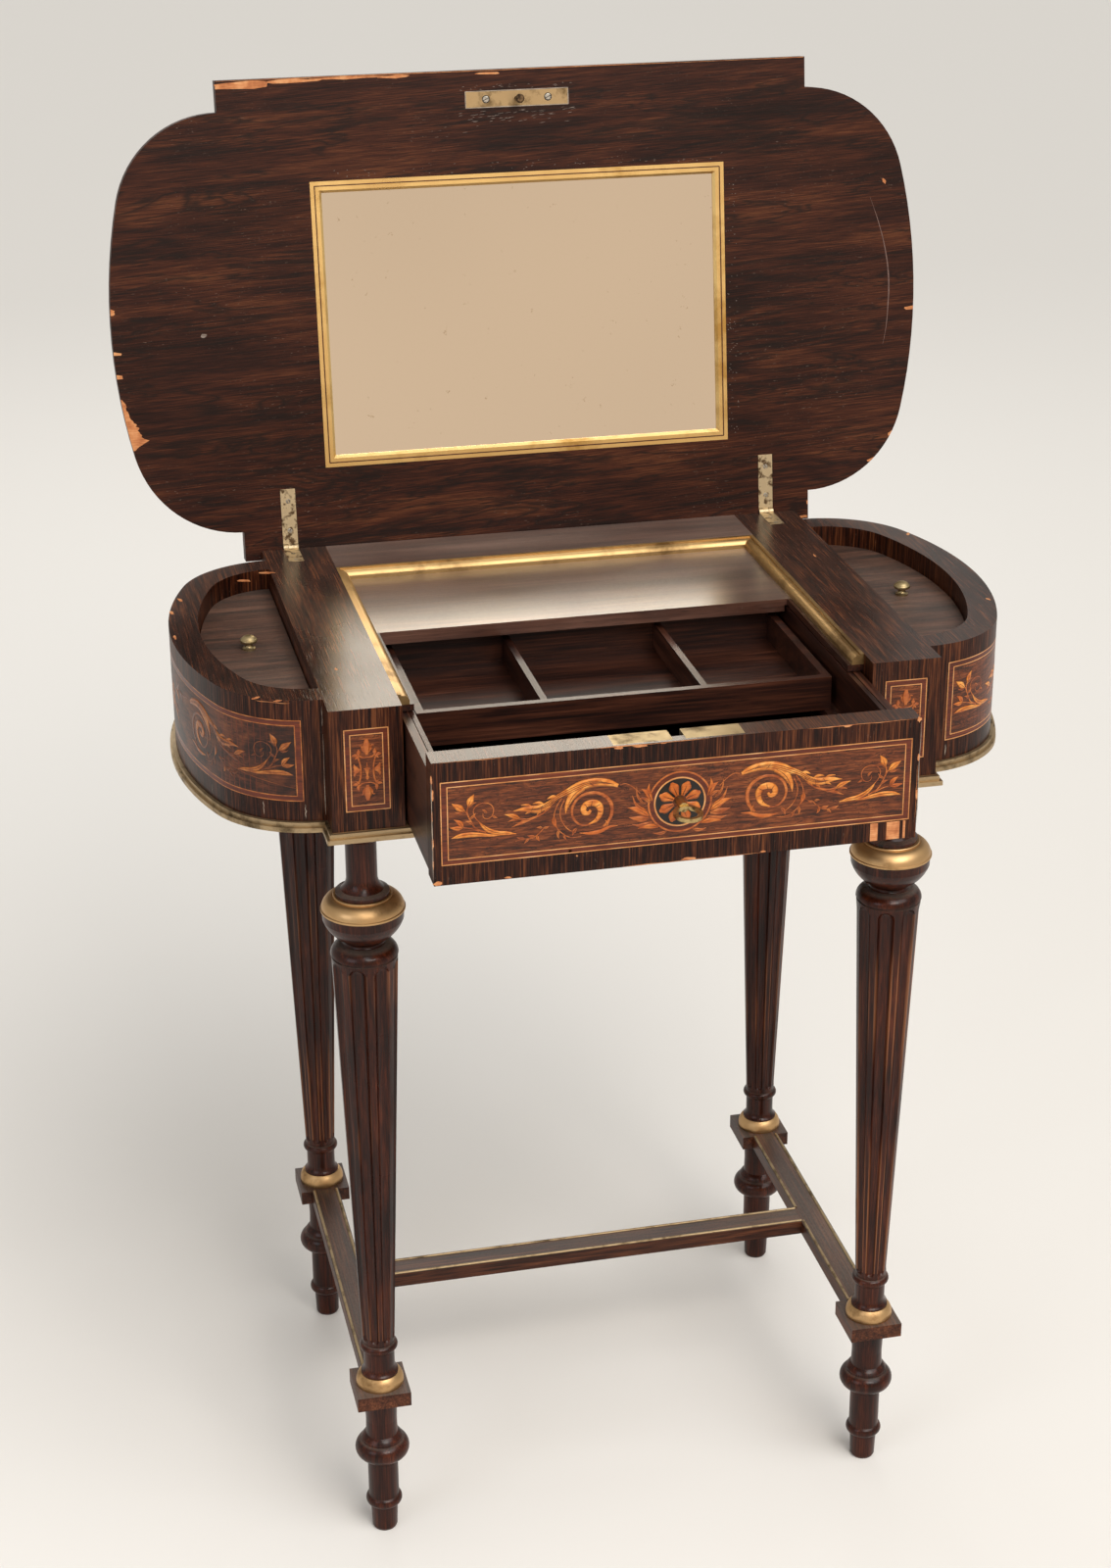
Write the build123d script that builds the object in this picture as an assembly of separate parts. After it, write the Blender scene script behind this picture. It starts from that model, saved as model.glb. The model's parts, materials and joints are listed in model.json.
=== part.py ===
from build123d import *
import math
import os

# Work and dressing table with a drawer between two D-shaped wells, a mirrored lid, four fluted
# legs and an H-stretcher.  Millimetres.  The origin is on the floor, midway between the four
# feet; +X is the table's right seen from the front, +Y is its back and +Z is up.

# ---------------------------------------------------------------- driving dimensions
# case
CASE_TOP = 714.0            # floor to the rim of the open case
CASE_BODY = 92.0            # height of posts, walls and drawer front
BASE_THICK = 8.0            # boards that close the case below
CASE_HALF_DEPTH = 178.0     # middle to the front face of a corner post
OPENING_HALF = 172.0        # half the width of the drawer opening
POST_WIDTH = 52.0
POST_DEPTH = 50.0
END_REACH = 91.0            # a D end beyond its posts
END_STEP = 24.0             # front of a post back to the front of a D end
END_ROUND = 0.835           # shoulder radius of a D end as a share of its reach
END_WALL = 22.0
CHEEK = 10.0                # boards on both sides of the hollow between drawer and well
RIM_STRIP = 8.0             # thickness of the strips that form the top of the case
BACK_PANEL = 12.0
DECK_DEPTH = 134.0          # fixed rear deck, in front of the back rail
DECK_THICK = 10.0
BACK_RAIL = 54.0            # depth of the rail behind the deck
KICKER_WIDTH = 12.0         # cleats over the drawer sides
KICKER_THICK = 5.0
RUNNER_WIDTH = 13.0
RUNNER_THICK = 2.0
BRASS_STRIP = 9.0           # width of the brass moulding round the deck
MOULDING_OUT = 4.5          # brass moulding under the case
MOULDING_HEIGHT = 7.0

# wells and their covers
COVER_THICK = 8.0
COVER_DROP = 16.0           # rim of the case to the top of a cover
COVER_GAP = 1.0
BATTEN_WIDTH = 12.0
BATTEN_THICK = 7.0
KNOB_STEM = 2.6
KNOB_HEAD = 6.5
KNOB_HEIGHT = 11.0

# drawer
DRAWER_OUT = 104.0          # how far the drawer is pulled out at rest
DRAWER_GAP = 1.0            # round the drawer front
FRONT_THICK = 20.0
SIDE_GAP = 2.0
SIDE_THICK = 10.0
SIDE_LINE = 3.4             # scratched line on top of a drawer side, from its inner face
LINE_WIDTH = 0.8
DRAWER_STOP = 14.0          # back of the shut drawer to the back panel
SIDE_TOP_GAP = 1.0          # under the kickers
DECK_SIDE_GAP = 2.0         # rear deck to the drawer sides
DRAWER_BACK_THICK = 8.0
DRAWER_BACK_DROP = 6.0
BOTTOM_THICK = 5.0
BOTTOM_RAISE = 6.0          # drawer bottom above the lower edge of the sides
GROOVE_DEPTH = 5.0
LEDGE_WIDTH = 10.0
LEDGE_THICK = 6.0
RUN_GAP = 0.2               # between flat faces that slide on each other

# sliding tray
TRAY_TOP = 690.0
TRAY_HEIGHT = 26.0
TRAY_FREE_FRONT = 125.0     # drawer front to the tray at rest
TRAY_FREE_BACK = 27.0
TRAY_SIDE_GAP = 5.0
TRAY_WALL = 6.0
TRAY_BOTTOM = 4.0
DIVIDER_THICK = 5.0
DIVIDER_X = 60.0

# lock, key and the pin on the lid that the lock holds
PIN_FROM_FRONT = 12.5       # front face of the drawer to the middle of the pin, drawer closed
PIN_RADIUS = 2.0
PIN_HEAD_RADIUS = 3.5
PIN_HEAD_HEIGHT = 2.8
PIN_LENGTH = 13.0
STRIKE_LENGTH = 83.0
STRIKE_WIDTH = 13.0
STRIKE_THICK = 1.5
LOCK_LENGTH = 72.0
LOCK_HEIGHT = 61.0
LOCK_DEPTH = 14.0
LOCK_WALL = 1.2
LOCK_BACK = 2.0
NOTCH_WIDTH = 9.0
SELVEDGE_LENGTH = 92.0
SELVEDGE_WIDTH = 17.5
SELVEDGE_THICK = 2.0
KEYHOLE_RING = 5.3
KEYHOLE_BORE = 4.2
KEY_SHANK = 2.8
KEY_NECK = 3.5
KEY_NECK_LENGTH = 12.0
KEY_BIT = 8.5               # key axis to the end of the bit
KEY_BIT_THICK = 2.0
KEY_BIT_LENGTH = 4.8
BOW_LENGTH = 24.0
BOW_WIDTH = 20.0
BOW_WIRE = 2.8
GUIDE_PIN = 1.2
BOLT_TRAVEL = 8.0
BOLT_PLATE = 2.0
BOLT_HOOK = 2.5

# lid
LID_THICK = 16.0
LID_OVERHANG = 10.0         # beyond the front and the back of the case
LID_END_OVERHANG = 15.0     # beyond a D end
LID_CORNER_OVERHANG = 13.0  # beyond the outer side of a post
LID_STEP = 24.0
LID_ROUND = 0.9             # shoulder radius of an end of the lid as a share of its reach
LID_GAP = 0.4               # above the case when the lid is shut
LID_OPEN = 97.4             # degrees from shut to open
MIRROR_HALF_LENGTH = 168.0
MIRROR_HEIGHT = 225.0
MIRROR_FROM_AXIS = 63.0
MIRROR_GLASS = 3.0
MIRROR_FRAME = 9.0
MIRROR_FRAME_THICK = 3.0
FRAME_BEAD = 3.2            # outer bead of the mirror frame

# hinges
HINGE_INSET = 28.0          # side of the drawer opening to the middle of a hinge
HINGE_BEHIND = 1.4          # hinge axis behind the back of the case
HINGE_WIDTH = 12.0
HINGE_LEAF = 1.6
HINGE_LID_LEAF = 48.0
HINGE_CASE_LEAF = 32.0
KNUCKLE_RADIUS = 2.6
KNUCKLE_CLEAR = 0.5
KNUCKLE_MIDDLE = 4.0
HINGE_PIN = 1.2
RUNNING = 0.05              # radial clearance of a pin in its bore

# legs and stretchers
FOOT_HEIGHT = 126.0         # floor to the underside of the stretcher blocks
STRETCHER_THICK = 12.0
STRETCHER_WIDTH = 23.0
BLOCK = 42.0
FOOT_RADIUS = 10.0
FOOT_RING = 14.4
SHAFT_RADIUS = 12.6
FOOT_TORUS = 21.4
DOWEL_RADIUS = 7.0
DOWEL_DEPTH = 15.0
DOWEL_GAP = 0.1
LEG_INSET_X = 23.0          # outer side of a post to the axis of its leg
LEG_INSET_Y = 24.0          # front of a post to the axis of its leg
NECK_LENGTH = 52.0          # brass collar to the underside of the case
COLUMN_BOTTOM = 12.4
COLUMN_TOP = 24.4
NECK_RADIUS = 11.4
COLLAR_RADIUS = 31.0
COLLAR_HEIGHT = 12.4
CUP_RADIUS = 30.0           # turned cup below the brass collar
CUP_HEIGHT = 23.0
CUP_NECK = 14.6             # thinnest part between cup and column
COLUMN_DROP = 37.3          # brass collar to the head of the fluted column
BASE_RING_RADIUS = 18.6
BASE_RING_HEIGHT = 10.5
FLUTES = 8
FLUTE_SHARE = 0.29          # radius of a flute as a share of the column's radius there
FLUTE_DEEP = 0.20           # depth of a flute as a share of the column's radius there
TENON_LENGTH = 10.0
TENON_WIDTH = 13.0
TENON_THICK = 5.0
BEAD = 2.4                  # brass bead along the stretchers

# ---------------------------------------------------------------- worked-out places
POST_OUT = OPENING_HALF + POST_WIDTH
LEG_X = POST_OUT - LEG_INSET_X
LEG_Y = CASE_HALF_DEPTH - LEG_INSET_Y
END_HALF_DEPTH = CASE_HALF_DEPTH - END_STEP
END_SHOULDER = END_REACH * END_ROUND
POST_INSIDE = CASE_HALF_DEPTH - POST_DEPTH
CASE_FLOOR = CASE_TOP - CASE_BODY
LEG_TOP = CASE_FLOOR - BASE_THICK
STRIP_BOTTOM = CASE_TOP - RIM_STRIP
DECK_BOTTOM = STRIP_BOTTOM - DECK_THICK
KICKER_BOTTOM = STRIP_BOTTOM - KICKER_THICK
RAIL_FRONT = CASE_HALF_DEPTH - BACK_RAIL
DECK_FRONT = RAIL_FRONT - DECK_DEPTH
PANEL_FRONT = CASE_HALF_DEPTH - BACK_PANEL
COVER_TOP = CASE_TOP - COVER_DROP
BATTEN_TOP = COVER_TOP - COVER_THICK
BLOCK_TOP = FOOT_HEIGHT + STRETCHER_THICK
HINGE_X = OPENING_HALF + HINGE_INSET
HINGE_Y = CASE_HALF_DEPTH + HINGE_BEHIND
HINGE_Z = CASE_TOP + LID_GAP
FRONT_FACE = -CASE_HALF_DEPTH - DRAWER_OUT
FRONT_INSIDE = FRONT_FACE + FRONT_THICK
SIDE_OUT = OPENING_HALF - SIDE_GAP
SIDE_IN = SIDE_OUT - SIDE_THICK
SIDE_BOTTOM = CASE_FLOOR + RUNNER_THICK + RUN_GAP
SIDE_TOP = KICKER_BOTTOM - SIDE_TOP_GAP
DRAWER_REAR = PANEL_FRONT - DRAWER_STOP - DRAWER_OUT
PIN_Y = -CASE_HALF_DEPTH + PIN_FROM_FRONT
LOCK_PIN_Y = FRONT_FACE + PIN_FROM_FRONT
FRONT_BOTTOM = CASE_FLOOR + DRAWER_GAP
FRONT_TOP = CASE_TOP - DRAWER_GAP
KEY_Z = (FRONT_BOTTOM + FRONT_TOP) / 2
TRAY_BASE = TRAY_TOP - TRAY_HEIGHT
TRAY_HALF = SIDE_IN - TRAY_SIDE_GAP
TRAY_FRONT = FRONT_INSIDE + TRAY_FREE_FRONT
TRAY_REAR = DRAWER_REAR - DRAWER_BACK_THICK - TRAY_FREE_BACK
LID_HALF_DEPTH = CASE_HALF_DEPTH + LID_OVERHANG
LID_HALF_STRAIGHT = POST_OUT + LID_CORNER_OVERHANG
LID_REACH = POST_OUT + END_REACH + LID_END_OVERHANG - LID_HALF_STRAIGHT

os.makedirs("parts", exist_ok=True)


# ---------------------------------------------------------------- helpers
def board(x0, x1, y0, y1, z0, z1):
    """A board between two corners."""
    size = (x1 - x0, y1 - y0, z1 - z0)
    return Pos((x0 + x1) / 2, (y0 + y1) / 2, (z0 + z1) / 2) * Box(*size)


def other_side(solid):
    """The same piece on the table's left."""
    return mirror(solid, about=Plane.YZ)


def group(solids):
    """Several separate solids kept together in one node."""
    return Compound(children=[s for part in solids for s in part.solids()])


def save(name, solid):
    solid.label = name
    export_step(solid, f"parts/{name}.step")


def d_sketch(start, reach, half, shoulder):
    """A D with its straight side at x = start: two shoulder arcs and one flatter arc between."""
    flat = (reach**2 + (half - shoulder) ** 2 - shoulder**2) / (2 * (reach - shoulder))
    rise = half - shoulder
    run = flat - reach
    angle = math.atan2(rise, run)
    middle = (angle + math.pi / 2) / 2
    turn = Vector(start + shoulder * math.cos(angle), rise + shoulder * math.sin(angle))
    bend = Vector(start + shoulder * math.cos(middle), rise + shoulder * math.sin(middle))
    with BuildSketch() as sketch:
        with BuildLine():
            Line((start, -half), (start, half))
            ThreePointArc((start, half), bend, turn)
            ThreePointArc(turn, (start + reach, 0), (turn.X, -turn.Y))
            ThreePointArc((turn.X, -turn.Y), (bend.X, -bend.Y), (start, -half))
        make_face()
    return sketch.sketch


def d_board(start, reach, half, shoulder, z0, z1):
    return Pos(0, 0, z0) * extrude(d_sketch(start, reach, half, shoulder), z1 - z0)


def turned(steps):
    """A turning about Z. A step is (radius, z), or (radius, z, radius, z) for an arc through
    the first point to the second."""
    with BuildPart() as work:
        with BuildSketch(Plane.XZ):
            with BuildLine():
                here = (0, steps[0][1])
                for step in steps:
                    if len(step) == 2:
                        Line(here, step)
                        here = step
                    else:
                        ThreePointArc(here, step[:2], step[2:])
                        here = step[2:]
                Line(here, (0, here[1]))
                Line((0, here[1]), (0, steps[0][1]))
            make_face()
        revolve(axis=Axis.Z)
    return work.part


def rod(radius, start, end):
    """A round bar from one point to another."""
    way = Vector(*end) - Vector(*start)
    return Plane(origin=start, z_dir=way) * Cylinder(
        radius, way.length, align=(Align.CENTER, Align.CENTER, Align.MIN)
    )


# ---------------------------------------------------------------- legs
def column_radius(z):
    share = (z - COLUMN_FOOT) / (COLUMN_HEAD - COLUMN_FOOT)
    return COLUMN_BOTTOM + (COLUMN_TOP - COLUMN_BOTTOM) * share


COLUMN_FOOT = BLOCK_TOP + 39.0
COLLAR_Z = LEG_TOP - NECK_LENGTH - COLLAR_HEIGHT
COLUMN_HEAD = COLLAR_Z - COLUMN_DROP


def make_leg():
    ring_z = COLUMN_FOOT - 4.0
    seat = BLOCK_TOP + BASE_RING_HEIGHT
    cup_z = COLLAR_Z - CUP_HEIGHT
    shoulder_z = COLUMN_HEAD + 2.2
    top_z = COLLAR_Z + COLLAR_HEIGHT
    leg = turned([
        (COLUMN_BOTTOM - 0.4, BLOCK_TOP),
        (COLUMN_BOTTOM - 0.4, seat),
        (COLUMN_BOTTOM + 2.2, seat),
        (COLUMN_BOTTOM + 2.2, seat + 1.2),
        (COLUMN_BOTTOM + 0.4, seat + 3.6, COLUMN_BOTTOM - 0.4, seat + 8.0),
        (COLUMN_BOTTOM - 0.4, ring_z - 3.4),
        (COLUMN_BOTTOM + 2.4, ring_z, COLUMN_BOTTOM - 0.2, ring_z + 3.4),
        (COLUMN_BOTTOM, COLUMN_FOOT),
        (COLUMN_TOP, COLUMN_HEAD),
        (COLUMN_TOP - 0.9, COLUMN_HEAD + 0.4),
        (COLUMN_TOP - 0.9, shoulder_z - 0.4),
        (COLUMN_TOP + 0.6, shoulder_z),
        (COLUMN_TOP - 1.4, shoulder_z + 5.0, CUP_NECK + 1.8, cup_z - 4.2),
        (CUP_NECK, cup_z - 2.2, CUP_NECK + 1.6, cup_z),
        (CUP_RADIUS - 5.0, cup_z + 7.5, CUP_RADIUS - 0.4, COLLAR_Z - 7.0),
        (CUP_RADIUS, COLLAR_Z),
        (COLLAR_RADIUS - 12.0, COLLAR_Z),
        (COLLAR_RADIUS - 12.0, top_z),
        (COLLAR_RADIUS - 11.3, top_z),
        (COLLAR_RADIUS - 11.3, top_z + 2.6),
        (NECK_RADIUS + 4.5, top_z + 4.2),
        (NECK_RADIUS + 1.2, top_z + 8.5, NECK_RADIUS, top_z + 15.0),
        (NECK_RADIUS, LEG_TOP - 9.0),
        (NECK_RADIUS + 2.4, LEG_TOP - 6.0, NECK_RADIUS + 0.8, LEG_TOP - 3.0),
        (NECK_RADIUS + 0.8, LEG_TOP),
    ])
    socket = rod(DOWEL_RADIUS + DOWEL_GAP, (0, 0, BLOCK_TOP), (0, 0, BLOCK_TOP + DOWEL_DEPTH))
    low = COLUMN_FOOT + 6.0
    high = COLUMN_HEAD - COLUMN_TOP * FLUTE_SHARE - 1.0
    ends = []
    for z in (low, high):
        r = column_radius(z)
        ends.append((r * FLUTE_SHARE, (r * (1 + FLUTE_SHARE - FLUTE_DEEP), 0, z)))
    way = Vector(*ends[1][1]) - Vector(*ends[0][1])
    cutter = Plane(origin=ends[0][1], z_dir=way) * Cone(
        ends[0][0], ends[1][0], way.length, align=(Align.CENTER, Align.CENTER, Align.MIN)
    )
    for radius, centre in ends:
        cutter += Pos(*centre) * Sphere(radius)
    leg -= socket
    for i in range(FLUTES):
        leg -= Rot(0, 0, (i + 0.5) * 360 / FLUTES) * cutter
    return leg


def make_foot():
    return turned([
        (FOOT_RADIUS - 1.0, 0),
        (FOOT_RADIUS, 2.0),
        (FOOT_RADIUS + 0.8, 22.5),
        (FOOT_RING, 27.5, SHAFT_RADIUS - 0.6, 31.5),
        (SHAFT_RADIUS - 0.6, 68.0),
        (SHAFT_RADIUS + 1.0, 68.5),
        (FOOT_TORUS, 77.0, SHAFT_RADIUS + 3.6, 85.0),
        (SHAFT_RADIUS + 3.6, 87.0),
        (SHAFT_RADIUS + 2.2, 89.0, SHAFT_RADIUS, 91.0),
        (SHAFT_RADIUS - 0.4, 104.0),
        (SHAFT_RADIUS + 0.6, FOOT_HEIGHT),
        (DOWEL_RADIUS, FOOT_HEIGHT),
        (DOWEL_RADIUS, BLOCK_TOP + DOWEL_DEPTH - 0.5),
    ])


def make_collar():
    """The domed brass moulding round the head of a leg, with a fillet at its foot and its top."""
    bore = COLLAR_RADIUS - 12.0
    ring = turned([
        (COLLAR_RADIUS - 0.4, COLLAR_Z),
        (COLLAR_RADIUS, COLLAR_Z + 0.5),
        (COLLAR_RADIUS, COLLAR_Z + 1.6),
        (COLLAR_RADIUS - 0.8, COLLAR_Z + 2.0),
        (COLLAR_RADIUS - 2.8, COLLAR_Z + 7.4, COLLAR_RADIUS - 8.4, COLLAR_Z + 10.9),
        (COLLAR_RADIUS - 9.4, COLLAR_Z + 10.9),
        (COLLAR_RADIUS - 9.4, COLLAR_Z + COLLAR_HEIGHT - 0.4),
        (COLLAR_RADIUS - 9.8, COLLAR_Z + COLLAR_HEIGHT),
    ])
    return ring - rod(bore, (0, 0, COLLAR_Z - 1), (0, 0, COLLAR_Z + COLLAR_HEIGHT + 1))


def make_base_ring():
    """The brass base moulding that stands on a stretcher block."""
    ring = turned([
        (BASE_RING_RADIUS - 0.4, BLOCK_TOP),
        (BASE_RING_RADIUS, BLOCK_TOP + 1.4),
        (BASE_RING_RADIUS - 0.7, BLOCK_TOP + 6.6, BASE_RING_RADIUS - 3.4,
         BLOCK_TOP + BASE_RING_HEIGHT),
    ])
    bore = COLUMN_BOTTOM - 0.4
    return ring - rod(bore, (0, 0, BLOCK_TOP - 1), (0, 0, BLOCK_TOP + BASE_RING_HEIGHT + 1))


CORNERS = {
    "front_left": (-LEG_X, -LEG_Y),
    "front_right": (LEG_X, -LEG_Y),
    "back_left": (-LEG_X, LEG_Y),
    "back_right": (LEG_X, LEG_Y),
}
leg = make_leg()
foot = make_foot()
collar = make_collar()
base_ring = make_base_ring()
for corner, (x, y) in CORNERS.items():
    save(f"leg_{corner}", Pos(x, y, 0) * leg)
save("turned_feet", group([Pos(x, y, 0) * foot for x, y in CORNERS.values()]))
save("brass_leg_collars", group([Pos(x, y, 0) * collar for x, y in CORNERS.values()]))
save("brass_leg_base_rings", group([Pos(x, y, 0) * base_ring for x, y in CORNERS.values()]))


# ---------------------------------------------------------------- stretchers
def make_side_stretcher():
    """Right-hand stretcher: two leg blocks joined by a bar, with a mortise for the cross bar."""
    half = STRETCHER_WIDTH / 2
    bar = board(LEG_X - half, LEG_X + half, -LEG_Y, LEG_Y, FOOT_HEIGHT, BLOCK_TOP)
    for y in (-LEG_Y, LEG_Y):
        bar += Pos(LEG_X, y, (FOOT_HEIGHT + BLOCK_TOP) / 2) * Box(BLOCK, BLOCK, STRETCHER_THICK)
    for y in (-LEG_Y, LEG_Y):
        bar -= rod(DOWEL_RADIUS + DOWEL_GAP, (LEG_X, y, FOOT_HEIGHT - 1), (LEG_X, y, BLOCK_TOP + 1))
    middle = (FOOT_HEIGHT + BLOCK_TOP) / 2
    mortise = board(
        LEG_X - half,
        LEG_X - half + TENON_LENGTH + DOWEL_GAP,
        -TENON_WIDTH / 2 - DOWEL_GAP,
        TENON_WIDTH / 2 + DOWEL_GAP,
        middle - TENON_THICK / 2 - DOWEL_GAP,
        middle + TENON_THICK / 2 + DOWEL_GAP,
    )
    return bar - mortise


def make_cross_stretcher():
    half = STRETCHER_WIDTH / 2
    reach = LEG_X - half
    middle = (FOOT_HEIGHT + BLOCK_TOP) / 2
    bar = board(-reach, reach, -half, half, FOOT_HEIGHT, BLOCK_TOP)
    tenon = board(
        -reach - TENON_LENGTH,
        reach + TENON_LENGTH,
        -TENON_WIDTH / 2,
        TENON_WIDTH / 2,
        middle - TENON_THICK / 2,
        middle + TENON_THICK / 2,
    )
    return bar + tenon


def bead_along(start, end):
    """A brass bead with a round back, lying along the top of a stretcher."""
    way = Vector(*end) - Vector(*start)
    with BuildSketch() as section:
        with BuildLine():
            Line((-BEAD / 2, 0), (BEAD / 2, 0))
            ThreePointArc((BEAD / 2, 0), (0, BEAD / 2), (-BEAD / 2, 0))
        make_face()
    plane = Plane(origin=start, x_dir=Vector(0, 0, 1).cross(way), z_dir=way)
    return plane * extrude(section.sketch, way.length)


def make_stretcher_beads():
    """Beads along both edges of each bar; the inner ones of the side bars stop at the cross bar."""
    inset = STRETCHER_WIDTH / 2 - BEAD / 2 - 0.6
    stop = LEG_Y - BLOCK / 2
    top = BLOCK_TOP
    cross = STRETCHER_WIDTH / 2 - 0.6
    beads = []
    for side in (-1, 1):
        outer = side * (LEG_X + inset)
        inner = side * (LEG_X - inset)
        beads.append(bead_along((outer, -stop, top), (outer, stop, top)))
        beads.append(bead_along((inner, -stop, top), (inner, -cross, top)))
        beads.append(bead_along((inner, cross, top), (inner, stop, top)))
    reach = LEG_X - inset - BEAD / 2 - 0.3
    for y in (-inset, inset):
        beads.append(bead_along((-reach, y, top), (reach, y, top)))
    return group(beads)


side_stretcher = make_side_stretcher()
save("side_stretcher_right", side_stretcher)
save("side_stretcher_left", other_side(side_stretcher))
save("cross_stretcher", make_cross_stretcher())
save("stretcher_brass_beads", make_stretcher_beads())


# ---------------------------------------------------------------- case
def make_back_post():
    """Right-hand back post, with the seat of a hinge leaf let into its top."""
    post = board(OPENING_HALF, POST_OUT, POST_INSIDE, CASE_HALF_DEPTH, CASE_FLOOR, CASE_TOP)
    half = HINGE_WIDTH / 2 + RUN_GAP
    seat = board(
        HINGE_X - half,
        HINGE_X + half,
        CASE_HALF_DEPTH - HINGE_CASE_LEAF,
        CASE_HALF_DEPTH + 1,
        CASE_TOP - HINGE_LEAF,
        CASE_TOP + 1,
    )
    hollow = rod(
        KNUCKLE_RADIUS + KNUCKLE_CLEAR,
        (HINGE_X - half, HINGE_Y, HINGE_Z),
        (HINGE_X + half, HINGE_Y, HINGE_Z),
    )
    return post - seat - hollow


def make_front_post():
    return board(
        OPENING_HALF, POST_OUT, -CASE_HALF_DEPTH, -POST_INSIDE, CASE_FLOOR, CASE_TOP
    )


def make_end_wall():
    outer = d_board(POST_OUT, END_REACH, END_HALF_DEPTH, END_SHOULDER, CASE_FLOOR, CASE_TOP)
    inner = d_board(
        POST_OUT,
        END_REACH - END_WALL,
        END_HALF_DEPTH - END_WALL,
        END_SHOULDER - END_WALL,
        CASE_FLOOR - 1,
        CASE_TOP + 1,
    )
    return outer - inner


def make_battens():
    """Upright battens inside the right-hand well that carry its cover."""
    well = d_board(
        POST_OUT,
        END_REACH - END_WALL,
        END_HALF_DEPTH - END_WALL,
        END_SHOULDER - END_WALL,
        CASE_FLOOR,
        BATTEN_TOP,
    )
    half = BATTEN_WIDTH / 2
    apex = POST_OUT + END_REACH - END_WALL
    shoulder_y = END_HALF_DEPTH - END_WALL
    blocks = [board(apex - BATTEN_THICK, apex + 1, -half, half, CASE_FLOOR, BATTEN_TOP)]
    blocks.append(
        board(POST_OUT, POST_OUT + BATTEN_THICK, -half, half, CASE_FLOOR, BATTEN_TOP)
    )
    for side in (-1, 1):
        y0, y1 = sorted((side * (shoulder_y - BATTEN_THICK), side * (shoulder_y + 1)))
        x0 = POST_OUT + BATTEN_WIDTH
        blocks.append(board(x0, x0 + BATTEN_WIDTH, y0, y1, CASE_FLOOR, BATTEN_TOP))
    return [block & well for block in blocks]


def make_moulding():
    """Brass moulding that runs round the foot of the case."""
    plan = Rectangle(2 * POST_OUT, 2 * CASE_HALF_DEPTH).face()
    right = d_sketch(POST_OUT, END_REACH, END_HALF_DEPTH, END_SHOULDER).face()
    outline = plan + right + mirror(right, about=Plane.YZ)
    wide = offset(outline, MOULDING_OUT, kind=Kind.INTERSECTION)
    slim = offset(outline, MOULDING_OUT - 2.0, kind=Kind.INTERSECTION)
    low = LEG_TOP + 0.5
    step = MOULDING_HEIGHT / 2
    ring = extrude(wide - outline, step)
    ring += Pos(0, 0, step) * extrude(slim - outline, MOULDING_HEIGHT - step)
    return Pos(0, 0, low) * ring


def strip_section():
    """Section of the brass moulding: full height at the wood, rounded and stepped inwards."""
    w = BRASS_STRIP
    h = RIM_STRIP
    with BuildSketch(Plane.XZ) as section:
        with BuildLine():
            Polyline((0, 0), (0, h), (-w * 0.3, h), (-w * 0.3, h - 1.2))
            ThreePointArc((-w * 0.3, h - 1.2), (-w * 0.78, h - 2.2), (-w, h - 5.0))
            Polyline((-w, h - 5.0), (-w, 0), (0, 0))
        make_face()
    return section.sketch


def make_brass_strips():
    """Three mitred strips round the deck, open towards the drawer."""
    start = -CASE_HALF_DEPTH + FRONT_THICK + 0.5
    run = extrude(strip_section(), -(RAIL_FRONT - start))
    side = Pos(OPENING_HALF, start, STRIP_BOTTOM) * run
    back = extrude(strip_section(), -2 * OPENING_HALF)
    back = Pos(OPENING_HALF, RAIL_FRONT, STRIP_BOTTOM) * (Rot(0, 0, 90) * back)
    z0 = STRIP_BOTTOM - 1
    reach = OPENING_HALF + RAIL_FRONT - start
    with BuildSketch() as wedge:
        with BuildLine():
            Polyline(
                (OPENING_HALF, RAIL_FRONT),
                (OPENING_HALF - reach, RAIL_FRONT - reach),
                (OPENING_HALF, RAIL_FRONT - reach),
                (OPENING_HALF, RAIL_FRONT),
            )
        make_face()
    keep = Pos(0, 0, z0) * extrude(wedge.sketch, RIM_STRIP + 2)
    side = side & keep
    back = back - keep - other_side(keep)
    return group([side, other_side(side), back])


def make_case_leaf():
    """Right-hand hinge leaf on the case, with two knuckles and room for the middle one."""
    half = HINGE_WIDTH / 2
    leaf = board(
        HINGE_X - half,
        HINGE_X + half,
        CASE_HALF_DEPTH - HINGE_CASE_LEAF,
        HINGE_Y,
        CASE_TOP - HINGE_LEAF,
        CASE_TOP,
    )
    leaf += rod(
        KNUCKLE_RADIUS, (HINGE_X - half, HINGE_Y, HINGE_Z), (HINGE_X + half, HINGE_Y, HINGE_Z)
    )
    middle = KNUCKLE_MIDDLE / 2 + RUN_GAP
    leaf -= rod(
        KNUCKLE_RADIUS + KNUCKLE_CLEAR,
        (HINGE_X - middle, HINGE_Y, HINGE_Z),
        (HINGE_X + middle, HINGE_Y, HINGE_Z),
    )
    return leaf - rod(
        HINGE_PIN + RUNNING,
        (HINGE_X - HINGE_WIDTH, HINGE_Y, HINGE_Z),
        (HINGE_X + HINGE_WIDTH, HINGE_Y, HINGE_Z),
    )


back_post = make_back_post()
front_post = make_front_post()
save("corner_post_back_right", back_post)
save("corner_post_back_left", other_side(back_post))
save("corner_post_front_right", front_post)
save("corner_post_front_left", other_side(front_post))

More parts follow.
